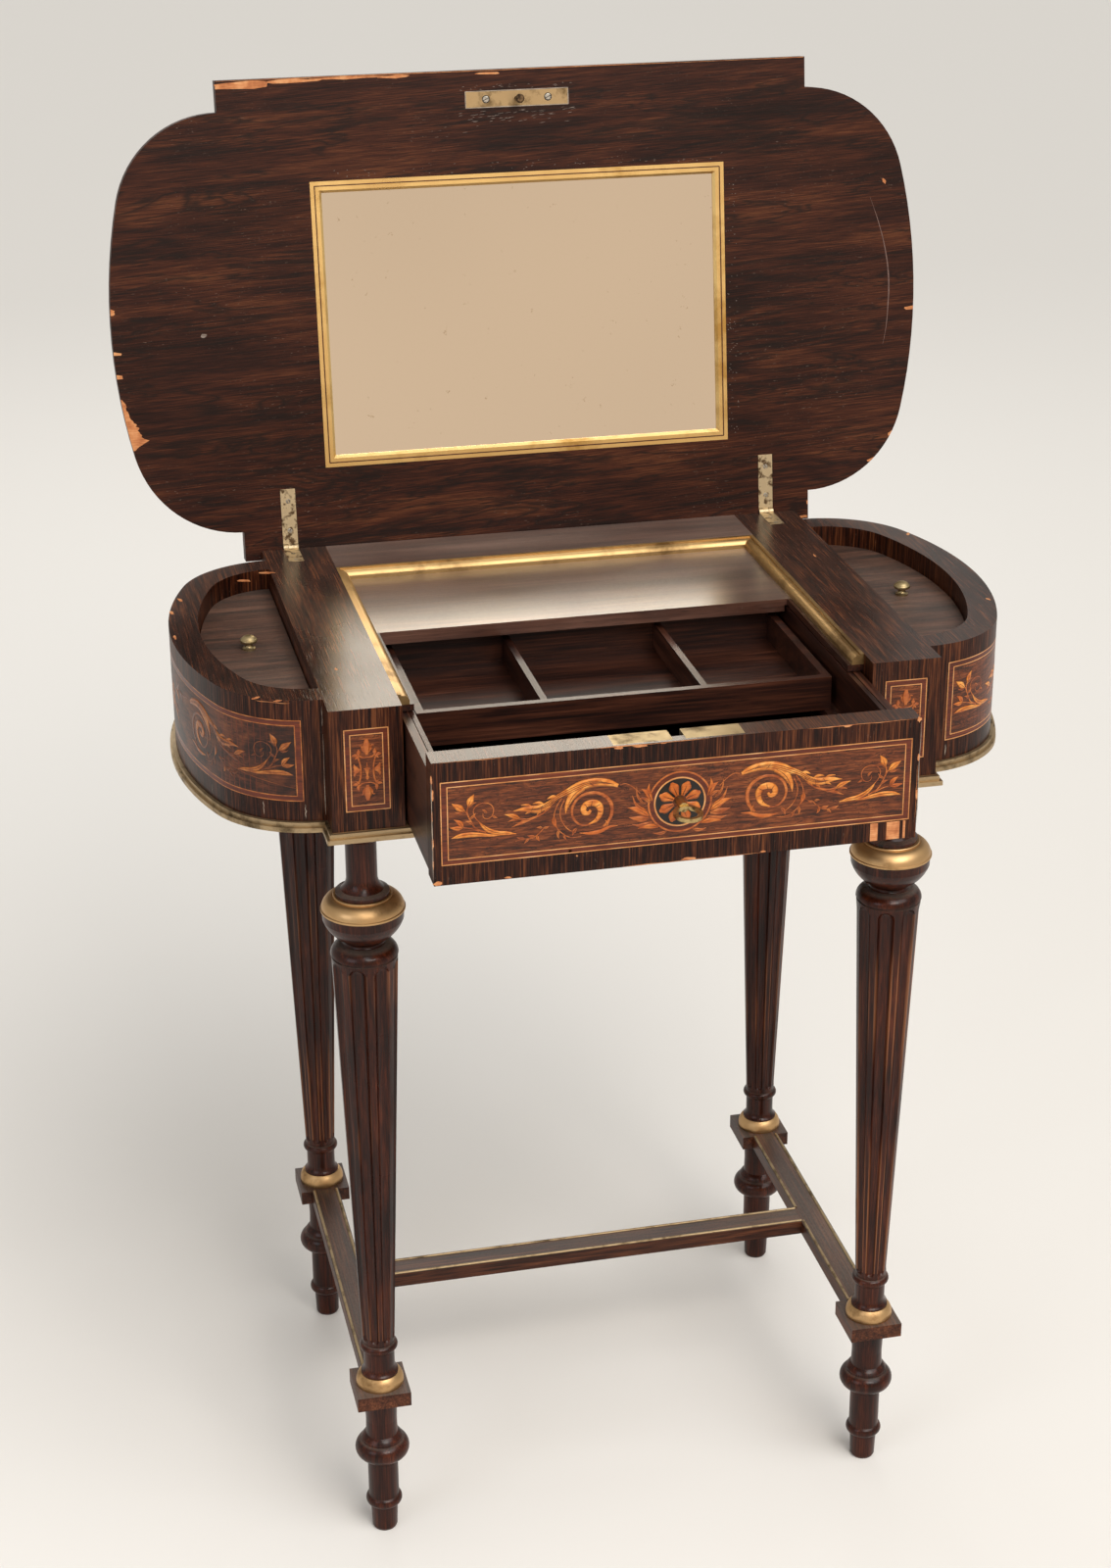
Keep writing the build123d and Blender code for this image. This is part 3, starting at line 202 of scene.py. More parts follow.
def wood(name, colours, grain="X", tops=None, uv=False, streak=2.2, figure=16.0, stretch=45.0,
         contrast=0.5, rough=0.46, coat=0.15, coat_rough=0.28, pores=0.5, drift=3.0, cracks=0.0,
         scuffs=0.0, worn=None, tilt=0.0, lines=0.75, veins=0.0, dust_sheen=0.0, gloss=0.22):
    """Veneer or solid wood. colours run from the dark lines to the light ones; streak and figure
    are widths across the grain in mm, stretch is how much longer they are along it; tops is the
    grain of upward faces where it differs, tilt turns the figure a little. lines is the weight of
    the fine streaks against the broad figure, veins the strength of long dark veins, film that of
    the grey dust and painted sheen on upward faces. The finest lines are drawn twice as wide as
    real ones, which would not show. worn is a function that gives the share of rubbed edge."""
    material, tree = new_material(name)
    if uv:
        source = add(tree, "ShaderNodeUVMap", uv_map="panel").outputs["UV"]
    else:
        source = add(tree, "ShaderNodeTexCoord").outputs["Object"]
    turn = Vector(GRAIN_TURN[grain]) + Vector((0.0, tilt, 0.0))
    vector = add(tree, "ShaderNodeMapping", {"Vector": source, "Rotation": turn}).outputs["Vector"]
    if tops:
        level = add(tree, "ShaderNodeMapping", {
            "Vector": source, "Rotation": GRAIN_TURN[tops],
        }).outputs["Vector"]
        steep = add(tree, "ShaderNodeMath", {0: looking_up(tree)}, operation="ABSOLUTE").outputs[0]
        flat = add(tree, "ShaderNodeMath", {0: steep, 1: 0.6}, operation="GREATER_THAN").outputs[0]
        vector = add(tree, "ShaderNodeMix", {0: flat, 4: vector, 5: level},
                     data_type="VECTOR").outputs[1]

    def layer(width, length, detail, roughness, warp=0.0):
        """Noise drawn out along the grain, at a random place; width and length are in mm."""
        scale = add(tree, "ShaderNodeMapping", {
            "Vector": vector,
            "Scale": (1000 / length, 1000 / width, 1000 / width),
            "Location": (random.random() * 9, random.random() * 9, random.random() * 9),
        })
        return add(tree, "ShaderNodeTexNoise", {
            "Vector": scale.outputs["Vector"], "Scale": 1.0, "Detail": detail,
            "Roughness": roughness, "Distortion": warp,
        }).outputs["Fac"]

    fine = layer(streak, streak * stretch, 3.0, 0.7)
    broad = layer(figure, figure * stretch * 0.22, 3.0, 0.55, drift * 0.25)
    cloud = layer(90.0, 160.0, 2.0, 0.5)
    pore = layer(0.9, 16.0, 1.0, 0.5)
    tone = add(tree, "ShaderNodeMath", {0: fine, 1: lines}, operation="MULTIPLY").outputs[0]
    for noise, weight in ((broad, FIGURE_WEIGHT - lines), (cloud, CLOUD_WEIGHT)):
        tone = add(tree, "ShaderNodeMath", {0: noise, 1: weight, 2: tone},
                   operation="MULTIPLY_ADD").outputs[0]
    spread = 0.13 + 0.14 * (1 - contrast)
    fac = add(tree, "ShaderNodeMapRange", {
        "Value": tone, "From Min": MIDDLE_TONE - spread, "From Max": MIDDLE_TONE + spread,
    }).outputs["Result"]
    count = len(colours) - 1
    base = ramp(tree, fac, [(i / count, c) for i, c in enumerate(colours)])
    speck = add(tree, "ShaderNodeMapRange", {
        "Value": pore, "From Min": 0.60, "From Max": 0.72,
    }).outputs["Result"]
    open_pore = add(tree, "ShaderNodeMath", {0: speck, 1: pores}, operation="MULTIPLY").outputs[0]
    base = add(tree, "ShaderNodeMix", {0: open_pore, 6: base, 7: hex_colour("#120806")},
               data_type="RGBA").outputs[2]
    if cracks:
        split = layer(9.0, 190.0, 2.0, 0.45, 0.3)
        base = dark_lines(tree, base, split, 0.5, 0.0, 0.012, cracks, "#160a06")
    if veins:
        wander = layer(figure * 1.4, figure * stretch * 0.3, 4.0, 0.62, drift * 0.3)
        base = dark_lines(tree, base, wander, 0.47, 0.004, 0.01 * math.sqrt(figure), veins,
                          "#140a07")
    if dust_sheen:
        base = dust_and_sheen_tops(tree, base, layer(1.6, 2.4, 3.0, 0.75), cloud, dust_sheen)
    if scuffs:
        rub = layer(0.9, 4.5, 2.0, 0.7)
        base = scuffed_spots(tree, base, rub, layer(60.0, 90.0, 3.0, 0.6), scuffs)
    if worn:
        share = worn(tree, add(tree, "ShaderNodeTexCoord").outputs["Object"], cloud)
        base = add(tree, "ShaderNodeMix", {0: share, 6: base, 7: hex_colour("#94603f")},
                   data_type="RGBA").outputs[2]
    dull = add(tree, "ShaderNodeMapRange", {
        "Value": cloud, "From Min": 0.3, "From Max": 0.7,
        "To Min": rough - 0.07, "To Max": rough + 0.09,
    }).outputs["Result"]
    if tops:
        dull = add(tree, "ShaderNodeMath", {0: flat, 1: -TOP_POLISH, 2: dull},
                   operation="MULTIPLY_ADD").outputs[0]
    bump = add(tree, "ShaderNodeBump", {
        "Height": speck, "Strength": 0.25, "Distance": -0.12 * MM,
    })
    wave = add(tree, "ShaderNodeBump", {
        "Height": fine, "Strength": 0.12, "Distance": 0.2 * MM, "Normal": bump.outputs["Normal"],
    })
    shader = add(tree, "ShaderNodeBsdfPrincipled", {
        "Base Color": base, "Roughness": dull, "Normal": wave.outputs["Normal"],
        "Coat Weight": coat, "Coat Roughness": coat_rough, "IOR": 1.5,
        "Specular IOR Level": gloss,
    })
    finish_material(tree, shader)
    return material


def rubbed_arris(tree, source, cloud):
    """Share of rubbed wood along the arrises between the flutes of the four legs."""
    parts = add(tree, "ShaderNodeSeparateXYZ", {"Vector": source}).outputs
    around = []
    for axis, inset in (("X", LEG_X), ("Y", LEG_Y)):
        away = add(tree, "ShaderNodeMath", {0: parts[axis]}, operation="ABSOLUTE").outputs[0]
        around.append(add(tree, "ShaderNodeMath", {0: away, 1: inset},
                          operation="SUBTRACT").outputs[0])
    angle = add(tree, "ShaderNodeMath", {0: around[1], 1: around[0]},
                operation="ARCTAN2").outputs[0]
    step = 2 * math.pi / FLUTES
    folded = add(tree, "ShaderNodeMath", {0: angle, 1: step / 2}, operation="PINGPONG").outputs[0]
    gap = add(tree, "ShaderNodeMath", {0: folded, 1: step / 2 - FLUTE_HALF_ANGLE},
              operation="SUBTRACT").outputs[0]
    near = add(tree, "ShaderNodeMath", {0: gap}, operation="ABSOLUTE").outputs[0]
    line = add(tree, "ShaderNodeMapRange", {
        "Value": near, "From Min": 0.012, "From Max": 0.05, "To Min": 0.75, "To Max": 0.0,
    }).outputs["Result"]
    above = add(tree, "ShaderNodeMath", {0: parts["Z"], 1: FLUTES_LOW},
                operation="GREATER_THAN").outputs[0]
    below = add(tree, "ShaderNodeMath", {0: parts["Z"], 1: FLUTES_HIGH},
                operation="LESS_THAN").outputs[0]
    band = add(tree, "ShaderNodeMath", {0: above, 1: below}, operation="MULTIPLY").outputs[0]
    line = add(tree, "ShaderNodeMath", {0: line, 1: band}, operation="MULTIPLY").outputs[0]
    patch = add(tree, "ShaderNodeMapRange", {"Value": cloud, "From Min": 0.42, "From Max": 0.6})
    return add(tree, "ShaderNodeMath", {0: line, 1: patch.outputs["Result"]},
               operation="MULTIPLY").outputs[0]


def metal(name, bright, tarnish, rough, wear=0.5, grime=22.0):
    """Lacquered or gilt metal with tarnish in clouds and fine handling scratches."""
    material, tree = new_material(name)
    source = add(tree, "ShaderNodeTexCoord").outputs["Object"]
    cloud = add(tree, "ShaderNodeTexNoise", {
        "Vector": source, "Scale": 1000 / grime, "Detail": 6.0, "Roughness": 0.62,
    }).outputs["Fac"]
    grit = add(tree, "ShaderNodeTexNoise", {
        "Vector": source, "Scale": 1000 / 1.6, "Detail": 3.0, "Roughness": 0.6,
    }).outputs["Fac"]
    spread = 0.08 + 0.12 * wear
    share = add(tree, "ShaderNodeMapRange", {
        "Value": cloud, "From Min": 0.5 - spread, "From Max": 0.5 + spread,
    }).outputs["Result"]
    base = ramp(tree, share, [(0.0, tarnish), (0.45, bright), (1.0, bright)])
    dull = add(tree, "ShaderNodeMapRange", {
        "Value": share, "To Min": rough + 0.18, "To Max": rough,
    }).outputs["Result"]
    bump = add(tree, "ShaderNodeBump", {"Height": grit, "Strength": 0.12, "Distance": 0.1 * MM})
    shader = add(tree, "ShaderNodeBsdfPrincipled", {
        "Base Color": base, "Roughness": dull, "Metallic": 1.0, "Normal": bump.outputs["Normal"],
    })
    finish_material(tree, shader)
    return material


# French-polished rosewood veneer: near-black lines in deep red brown, upright on the sides of
# the case and front to back on its top, where dust and a painted sheen grey it.
CASE_ROSEWOOD = ["#0f0402", "#220d06", "#3d1c0e", "#64381e"]
case_veneer = wood("rosewood_veneer_polished", CASE_ROSEWOOD, grain="Z", tops="Y", streak=1.0,
                   figure=4.5, contrast=0.75, rough=0.44, coat=0.16, coat_rough=0.2, scuffs=0.35,
                   lines=0.9, dust_sheen=0.1, gloss=0.1)
# The same veneer laid along the lid, with broad dark clouds and wandering veins.
lid_veneer = wood("rosewood_veneer_lid", ["#0e0402", "#260e07", "#3f1d0f", "#5c331c"], grain="X",
                  streak=0.8, figure=14.0, stretch=40.0, contrast=0.45, rough=0.5, coat=0.06,
                  drift=2.5, scuffs=0.6, tilt=0.05, lines=0.72, veins=0.75, gloss=0.16)
# Loose covers of the wells: the same wood, paler and dry, with grey dust and a painted sheen on
# their tops.
cover_veneer = wood("rosewood_veneer_dry", ["#22130e", "#3c231a", "#563628", "#6d4a3a"],
                    grain="X", streak=1.2, figure=12.0, contrast=0.6, rough=0.5, coat=0.1,
                    scuffs=0.5, lines=0.6, veins=0.5, dust_sheen=0.2)
# Solid turned rosewood: redder, straight grain along the leg, handled to a soft gloss, with grey
# dust and a painted sheen on the upward faces of its rings.
leg_wood = wood("rosewood_turned_polished", ["#130502", "#260c05", "#3d180a", "#5c2b17"],
                grain="Z", streak=1.0, figure=7.0, contrast=0.35, rough=0.32, coat=0.18,
                coat_rough=0.14, pores=0.6, worn=rubbed_arris, lines=0.7, dust_sheen=0.4, gloss=0.15)
# Bars between the legs, with grey dust and a painted sheen on their upward faces.
BAR_ROSEWOOD = ["#180904", "#33170b", "#502a17", "#6f4128"]
stretcher_wood = wood("rosewood_bar_polished", BAR_ROSEWOOD, grain="X", streak=1.4, figure=9.0,
                      contrast=0.5, coat=0.15, dust_sheen=0.35, gloss=0.16)
side_bar_wood = wood("rosewood_side_bar_polished", BAR_ROSEWOOD, grain="Y", streak=1.4,
                     figure=9.0, contrast=0.5, coat=0.15, dust_sheen=0.35, gloss=0.16)
# Rosewood ground of the marquetry: warm red brown with dark wandering lines and old cracks.
panel_veneer = wood("rosewood_panel_ground", ["#200b04", "#49200b", "#6b3416", "#8a4b24"],
                    uv=True, streak=0.7, figure=5.5, stretch=20.0, contrast=0.5, rough=0.42,
                    coat=0.25, coat_rough=0.2, cracks=0.8, drift=6.0, lines=0.75, veins=0.75)
# The same on the left end, stained almost black in places, and darker overall as painted shade on
# the end turned from the light.
end_ground = wood("rosewood_end_ground", ["#170b07", "#35190e", "#572c17", "#6e3e20"],
                  uv=True, streak=1.2, figure=30.0, stretch=8.0, contrast=0.5, rough=0.46,
                  coat=0.2, coat_rough=0.22, cracks=0.8, drift=6.0, lines=0.4, veins=0.5)
banding = wood("rosewood_red_banding", ["#3a1408", "#59220e", "#6d2f14"], uv=True, streak=1.4,
               figure=6.0, contrast=0.4, rough=0.42, coat=0.3, coat_rough=0.2)
# Mahogany inside the drawer, tray and wells, thinly polished and dusty.
INSIDE = ["#120806", "#27120c", "#3e2014", "#573122"]
inside_x = wood("mahogany_satin_lengthwise", INSIDE, grain="X", figure=12.0, contrast=0.5,
                rough=0.44, coat=0.25)
inside_y = wood("mahogany_satin_crosswise", INSIDE, grain="Y", figure=12.0, contrast=0.5,
                rough=0.44, coat=0.25)
inside_z = wood("mahogany_satin_upright", ["#1a0b07", "#391a0e", "#552c1a", "#6d3f27"],
                grain="Z", figure=9.0, contrast=0.5, rough=0.48)
# Polished mahogany of the deck and back rail, with grey dust and a painted sheen laid over its top.
deck_wood = wood("mahogany_deck_polished", ["#2a1812", "#452a20", "#5f3f32", "#785648"],
                 grain="X", figure=22.0, contrast=0.3, rough=0.36, coat=1.0, coat_rough=0.24,
                 scuffs=0.5, lines=0.5, dust_sheen=0.4, gloss=0.5)
plain_wood = wood("oak_carcase_plain", ["#3c2a1c", "#5d442e", "#7b5f41", "#937654"], grain="X",
                  figure=14.0, contrast=0.5, rough=0.7, coat=0.0)

# Gilt brass mouldings: warm and bright in places, brown with tarnish in clouds.
gilt_brass = metal("gilt_brass_mellow", "#c29e70", "#7f603c", 0.38, wear=0.8, grime=30.0)
moulding_brass = metal("brass_moulding_grey", "#ad9776", "#63533d", 0.42, wear=0.8, grime=18.0)
strip_brass = metal("brass_strip_aged", "#bb9b6a", "#7f6440", 0.38, wear=0.8, grime=50.0)
bright_gilt = metal("gilt_brass_bright", "#e9c684", "#b98f4e", 0.27, wear=0.7, grime=70.0)
lock_brass = metal("lock_brass_rubbed", "#a8956f", "#766444", 0.38, wear=0.7, grime=18.0)
key_brass = metal("key_brass_dark", "#b99f6c", "#4c3e29", 0.27, wear=0.6, grime=5.0)
strike_brass = metal("strike_brass_stained", "#a68d68", "#745f42", 0.42, wear=0.6, grime=16.0)
pin_bronze = metal("strike_pin_bronze", "#6f5a42", "#3c3025", 0.34, wear=0.5, grime=5.0)
# Hinges: brass under old white paint and brown dirt.
hinge_brass = metal("hinge_brass_caked", "#c8b593", "#65503a", 0.5, wear=0.25, grime=7.0)
old_steel = metal("steel_screws_dull", "#a9a398", "#736c61", 0.40, wear=0.6, grime=9.0)


def inlay(name, colours, rough=0.42, shade=9.0):
    """Thin inlaid wood: fine grain along the panel and tone that changes from leaf to leaf."""
    material, tree = new_material(name)
    source = add(tree, "ShaderNodeUVMap", uv_map="panel").outputs["UV"]
    tone = add(tree, "ShaderNodeTexNoise", {
        "Vector": source, "Scale": 1000 / shade, "Detail": 2.0, "Roughness": 0.6,
    }).outputs["Fac"]
    lines = add(tree, "ShaderNodeMapping", {
        "Vector": source, "Rotation": (0, 0, 0.5), "Scale": (1000 / 9.0, 1000 / 0.7, 1.0),
    })
    fine = add(tree, "ShaderNodeTexNoise", {
        "Vector": lines.outputs["Vector"], "Scale": 1.0, "Detail": 2.0,
    }).outputs["Fac"]
    both = add(tree, "ShaderNodeMath", {0: fine, 1: 0.45, 2: 0.0}, operation="MULTIPLY_ADD")
    both = add(tree, "ShaderNodeMath", {0: tone, 1: 0.75, 2: both.outputs[0]},
               operation="MULTIPLY_ADD")
    fac = add(tree, "ShaderNodeMapRange", {
        "Value": both.outputs[0], "From Min": 0.42, "From Max": 0.78,
    }).outputs["Result"]
    base = ramp(tree, fac, [(i / (len(colours) - 1), c) for i, c in enumerate(colours)])
    dull = add(tree, "ShaderNodeMapRange", {
        "Value": tone, "To Min": rough - 0.08, "To Max": rough + 0.1,
    }).outputs["Result"]
    bump = add(tree, "ShaderNodeBump", {"Height": fine, "Strength": 0.1, "Distance": 0.1 * MM})
    shader = add(tree, "ShaderNodeBsdfPrincipled", {
        "Base Color": base, "Roughness": dull, "Normal": bump.outputs["Normal"],
        "Coat Weight": 0.3, "Coat Roughness": 0.2, "Specular IOR Level": 0.25,
    })
    finish_material(tree, shader)
    return material


# Maple and boxwood, dyed and shaded in hot sand: bright orange leaves, duller stems.
leaf_bright = inlay("maple_inlay_amber", ["#9c4c18", "#c06a24", "#d88838", "#e8a858"])
leaf_dull = inlay("maple_inlay_russet", ["#73330f", "#97491a", "#b3622a", "#c47839"])
leaf_red = inlay("maple_inlay_red", ["#93420f", "#b45b1e", "#cf7a32"])
leaf_post = inlay("maple_inlay_rust", ["#8a4018", "#ab5a28", "#c27638"])
# Polish dulled by a scrape, and crumbs of old polish dried grey.
scuffed = inlay("polish_scuffed", ["#55403a", "#6b524a", "#80665c"], rough=0.6)
residue = inlay("polish_residue_dried", ["#66584e", "#80736a", "#9a8d82"], rough=0.8)
# The same leaves on the curved ends, stained and dirty, and darker still as painted shade on the
# left end turned from the light.
leaf_old_shaded = inlay("maple_inlay_stained_shaded", ["#6a3514", "#8d4c1e", "#a9642c", "#bb7a3c"])
leaf_stained_shaded = inlay("maple_inlay_dirty_shaded", ["#4a210e", "#6b3516", "#84481f"])
# Pale wood laid bare where veneer has chipped away, and grey dust in open joints.
bare_wood = inlay("bare_wood_chipped", ["#9c5a33", "#c07c4c", "#d69a68"], rough=0.75)
dust = inlay("dust_in_joints", ["#7c7165", "#a09283", "#b8aa99"], rough=0.9)
stringing = inlay("boxwood_stringing", ["#a4622f", "#c98a50", "#dba673"], shade=22.0)
engraving = inlay("engraved_lines_dark", ["#3a1a0c", "#4a210f", "#5c2c14"])
ebony = inlay("ebony_ground", ["#0b0706", "#120c0a", "#1d1512"], rough=0.38)


def mirror_material():
    """Old plate glass silvered from behind: faint foxing spots in clouds across it."""
    material, tree = new_material("mirror_silvered_glass")
    source = add(tree, "ShaderNodeTexCoord").outputs["Object"]
    foxing = 25 / 3     # mm from spot to spot
    spots = add(tree, "ShaderNodeTexNoise", {
        "Vector": source, "Scale": 1000 / foxing, "Detail": 5.0, "Roughness": 0.7,
    }).outputs["Fac"]
    share = add(tree, "ShaderNodeMapRange", {
        "Value": spots, "From Min": 0.66, "From Max": 0.74,
    }).outputs["Result"]
    base = ramp(tree, share, [(0.0, "#e6e2d8"), (1.0, "#b8ab90")])
    dull = add(tree, "ShaderNodeMapRange", {"Value": share, "To Min": 0.02, "To Max": 0.25})
    shader = add(tree, "ShaderNodeBsdfPrincipled", {
        "Base Color": base, "Roughness": dull.outputs["Result"], "Metallic": 1.0,
    })
    finish_material(tree, shader)
    return material


mirror_glass = mirror_material()

FINISHES = {
    leg_wood: ["leg_front_left", "leg_front_right", "leg_back_left", "leg_back_right",
               "turned_feet"],
    stretcher_wood: ["cross_stretcher"],
    side_bar_wood: ["side_stretcher_left", "side_stretcher_right"],
    gilt_brass: ["brass_leg_collars", "brass_leg_base_rings"],
    moulding_brass: ["base_moulding", "stretcher_brass_beads"],
    bright_gilt: ["mirror_frame"],
    strip_brass: ["brass_deck_strips"],
    case_veneer: ["corner_post_front_left", "corner_post_front_right", "corner_post_back_left",
                  "corner_post_back_right", "rim_strip_left", "rim_strip_right",
                  "end_wall_left", "end_wall_right", "drawer_front", "back_panel"],
    lid_veneer: ["lid_board"],
    cover_veneer: ["well_cover_left", "well_cover_right"],
    inside_z: ["well_cheeks", "drawer_cheeks", "cover_battens"],
    inside_y: ["well_floor_left", "well_floor_right", "drawer_side_left", "drawer_side_right",
               "drawer_kickers", "drawer_runners", "tray_ledges", "tray_dividers"],
    inside_x: ["drawer_back", "drawer_bottom", "tray_walls", "tray_bottom"],
    deck_wood: ["rear_deck", "back_rail"],
    plain_wood: ["case_bottom"],
    key_brass: ["keyhole_ring", "lock_key"],
    lock_brass: ["lock_selvedge", "cover_knob_left", "cover_knob_right"],
    strike_brass: ["strike_plate"],
    pin_bronze: ["strike_pin"],
    hinge_brass: ["case_hinge_leaves", "lid_hinge_leaves"],
    old_steel: ["lock_case", "lock_bolt", "hinge_pins"],
    mirror_glass: ["mirror_glass"],
}
for material, names in FINISHES.items():
    for name in names:
        mesh = nodes[name].data
        if not mesh.materials:
            mesh.materials.append(material)
        for index in range(len(mesh.materials)):
            mesh.materials[index] = material


# ------------------------------------------------------------------ laying pieces on a face
# A panel piece is made flat: u to the right, v up and h outwards, in metres from the middle of
# the face.  A layer then carries it onto the drawer, a post or a curved end.
def on_drawer(u, v, h):
    """On the front of the drawer."""
    return Vector((u, DRAWER_FACE - h, FACE_MIDDLE + v))


def on_lid(u, v, h):
    """v runs up the open lid from its hinge, h out of its inner face."""
    return Vector((u, HINGE_AT.y, HINGE_AT.z)) + LID_ALONG * v + LID_OUT * h


def on_top(u, v, h):
    """On the rim of the case; here v runs to the back."""
    return Vector((u, v, CASE_TOP + h))


def on_post(side):
    """On the front of the left (-1) or right (1) front post."""
    middle = side * (POST_IN + POST_OUT) / 2
    return lambda u, v, h: Vector((middle + u, POST_FACE - h, FACE_MIDDLE + v))


def on_end(side):
    """Round the curve of the left (-1) or right (1) end, with u from its middle."""
    def lay(u, v, h):
        reach = abs(u)
        if reach <= FLAT_LENGTH:
            angle = reach / FLAT_RADIUS
            centre = Vector((FLAT_CENTRE, 0.0))
            radius = FLAT_RADIUS
        else:
            angle = FLAT_ANGLE + (reach - FLAT_LENGTH) / END_SHOULDER
            centre = Vector((POST_OUT, END_HALF - END_SHOULDER))
            radius = END_SHOULDER
        x = centre.x + (radius + h) * math.cos(angle)
        y = centre.y + (radius + h) * math.sin(angle)
        y = math.copysign(y, u)
        return Vector((side * x, side * y, FACE_MIDDLE + v))
    return lay


def settle(obj, lay, body, material=None):
    """Writes the panel coordinates into a UV map, carries the piece onto its face and rides it."""
    mesh = obj.data
    while mesh.uv_layers:
        mesh.uv_layers.remove(mesh.uv_layers[0])
    layer = mesh.uv_layers.new(name="panel")
    for loop in mesh.loops:
        co = mesh.vertices[loop.vertex_index].co
        layer.data[loop.index].uv = (co.x, co.y)
    for vertex in mesh.vertices:
        vertex.co = lay(*vertex.co)
    if material:
        mesh.materials.clear()
        mesh.materials.append(material)
    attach(obj, body)


def piece_of(shape, name):
    """A new object from a bmesh, with its faces turned outwards."""
    bmesh.ops.recalc_face_normals(shape, faces=shape.faces)
    mesh = bpy.data.meshes.new(name)
    shape.to_mesh(mesh)
    shape.free()
    obj = bpy.data.objects.new(name, mesh)
    bpy.context.scene.collection.objects.link(obj)
    return obj


def strip(name, u0, u1, v0, v1, thick, lay, body, material, step):
    """A thin plate on a face, cut into short lengths where the face may be curved."""
    bpy.ops.object.select_all(action="DESELECT")
    bpy.ops.mesh.primitive_cube_add(size=1)
    obj = bpy.context.object
    obj.name = obj.data.name = name
    bpy.ops.object.mode_set(mode="EDIT")
    bpy.ops.mesh.select_all(action="SELECT")
    cuts = max(1, round((u1 - u0) / step))
    for i in range(1, cuts):
        bpy.ops.mesh.select_all(action="SELECT")
        bpy.ops.mesh.bisect(plane_co=(-0.5 + i / cuts, 0, 0), plane_no=(1, 0, 0))
    bpy.ops.object.mode_set(mode="OBJECT")
    for vertex in obj.data.vertices:
        u = u0 + (vertex.co.x + 0.5) * (u1 - u0)
        v = v0 + (vertex.co.y + 0.5) * (v1 - v0)
        h = -LET_IN + (vertex.co.z + 0.5) * (thick + LET_IN)
        vertex.co = (u, v, h)
    settle(obj, lay, body, material)


# Heights of the inlay above the veneer, small enough to look flush, and how deep it is let in.
BAND_HEIGHT = 0.05 * MM
GROUND_HEIGHT = 0.07 * MM
STRING_HEIGHT = 0.08 * MM
STRING_WIDTH = 0.7 * MM
CHIP_HEIGHT = 0.05 * MM
LET_IN = 0.3 * MM


def framed_field(name, half_u, half_v, gap_u, gap_v, lay, body, step, ground=panel_veneer,
                 thread=stringing):
    """Marquetry ground with a red band between two lines of stringing."""
    line = STRING_WIDTH
    strip(f"{name}_field", -half_u, half_u, -half_v, half_v, BAND_HEIGHT, lay, body, banding, step)
    inner_u = half_u - gap_u
    inner_v = half_v - gap_v
    strip(f"{name}_ground", -inner_u, inner_u, -inner_v, inner_v, GROUND_HEIGHT, lay, body, ground,
          step)
    for label, u, v in (("outer", half_u, half_v), ("inner", inner_u, inner_v)):
        strip(f"{name}_line_{label}_top", -u, u, v - line, v, STRING_HEIGHT, lay, body, thread,
              step)
        strip(f"{name}_line_{label}_low", -u, u, -v, -v + line, STRING_HEIGHT, lay, body,
              thread, step)
        strip(f"{name}_line_{label}_left", -u, -u + line, -v + line, v - line, STRING_HEIGHT, lay,
              body, thread, step)
        strip(f"{name}_line_{label}_right", u - line, u, -v + line, v - line, STRING_HEIGHT, lay,
              body, thread, step)


# ------------------------------------------------------------------ drawing the marquetry
# A stroke is (kind, points, widths): points in mm through its middle, half widths in mm.
KIND_MATERIALS = {
    "bright": leaf_bright, "dull": leaf_dull, "red": leaf_red, "line": engraving,
    "bare": bare_wood, "dust": dust, "old": leaf_old_shaded, "stained": leaf_stained_shaded,
    "rust": leaf_post, "scuff": scuffed,
}
KINDS = list(KIND_MATERIALS)
# mm above the ground, so that stems lie under leaves and engraved lines over both
LIFT = {"dull": 0.05, "stained": 0.05, "red": 0.06, "old": 0.07, "rust": 0.07, "bright": 0.07,
        "line": 0.16, "bare": 0.0, "dust": 0.0, "scuff": 0.0}
FLATTEN = 0.012     # height of a slip over its half width


def flip(strokes):
    """The same strokes mirrored to the other side of the middle."""
    return [(kind, [(-u, v) for u, v in points], widths) for kind, points, widths in strokes]


def moved(strokes, du):
    """The same strokes further from the middle."""
    return [(kind, [(u + du, v) for u, v in points], widths) for kind, points, widths in strokes]


def leaf(kind, start, end, bulge, bend=0.0, vein=True):
    """A pointed leaf between two points, with its engraved midrib."""
    (u0, v0), (u1, v1) = start, end
    du, dv = u1 - u0, v1 - v0
    points = []
    for t in (0.0, 0.3, 0.62, 1.0):
        sag = bend * math.sin(math.pi * t)
        points.append((u0 + du * t - dv * sag, v0 + dv * t + du * sag))
    strokes = [(kind, points, [bulge * 0.25, bulge, bulge * 0.8, 0.12])]
    if vein:
        strokes.append(("line", points[:3], [0.12, 0.16, 0.05]))
    return strokes


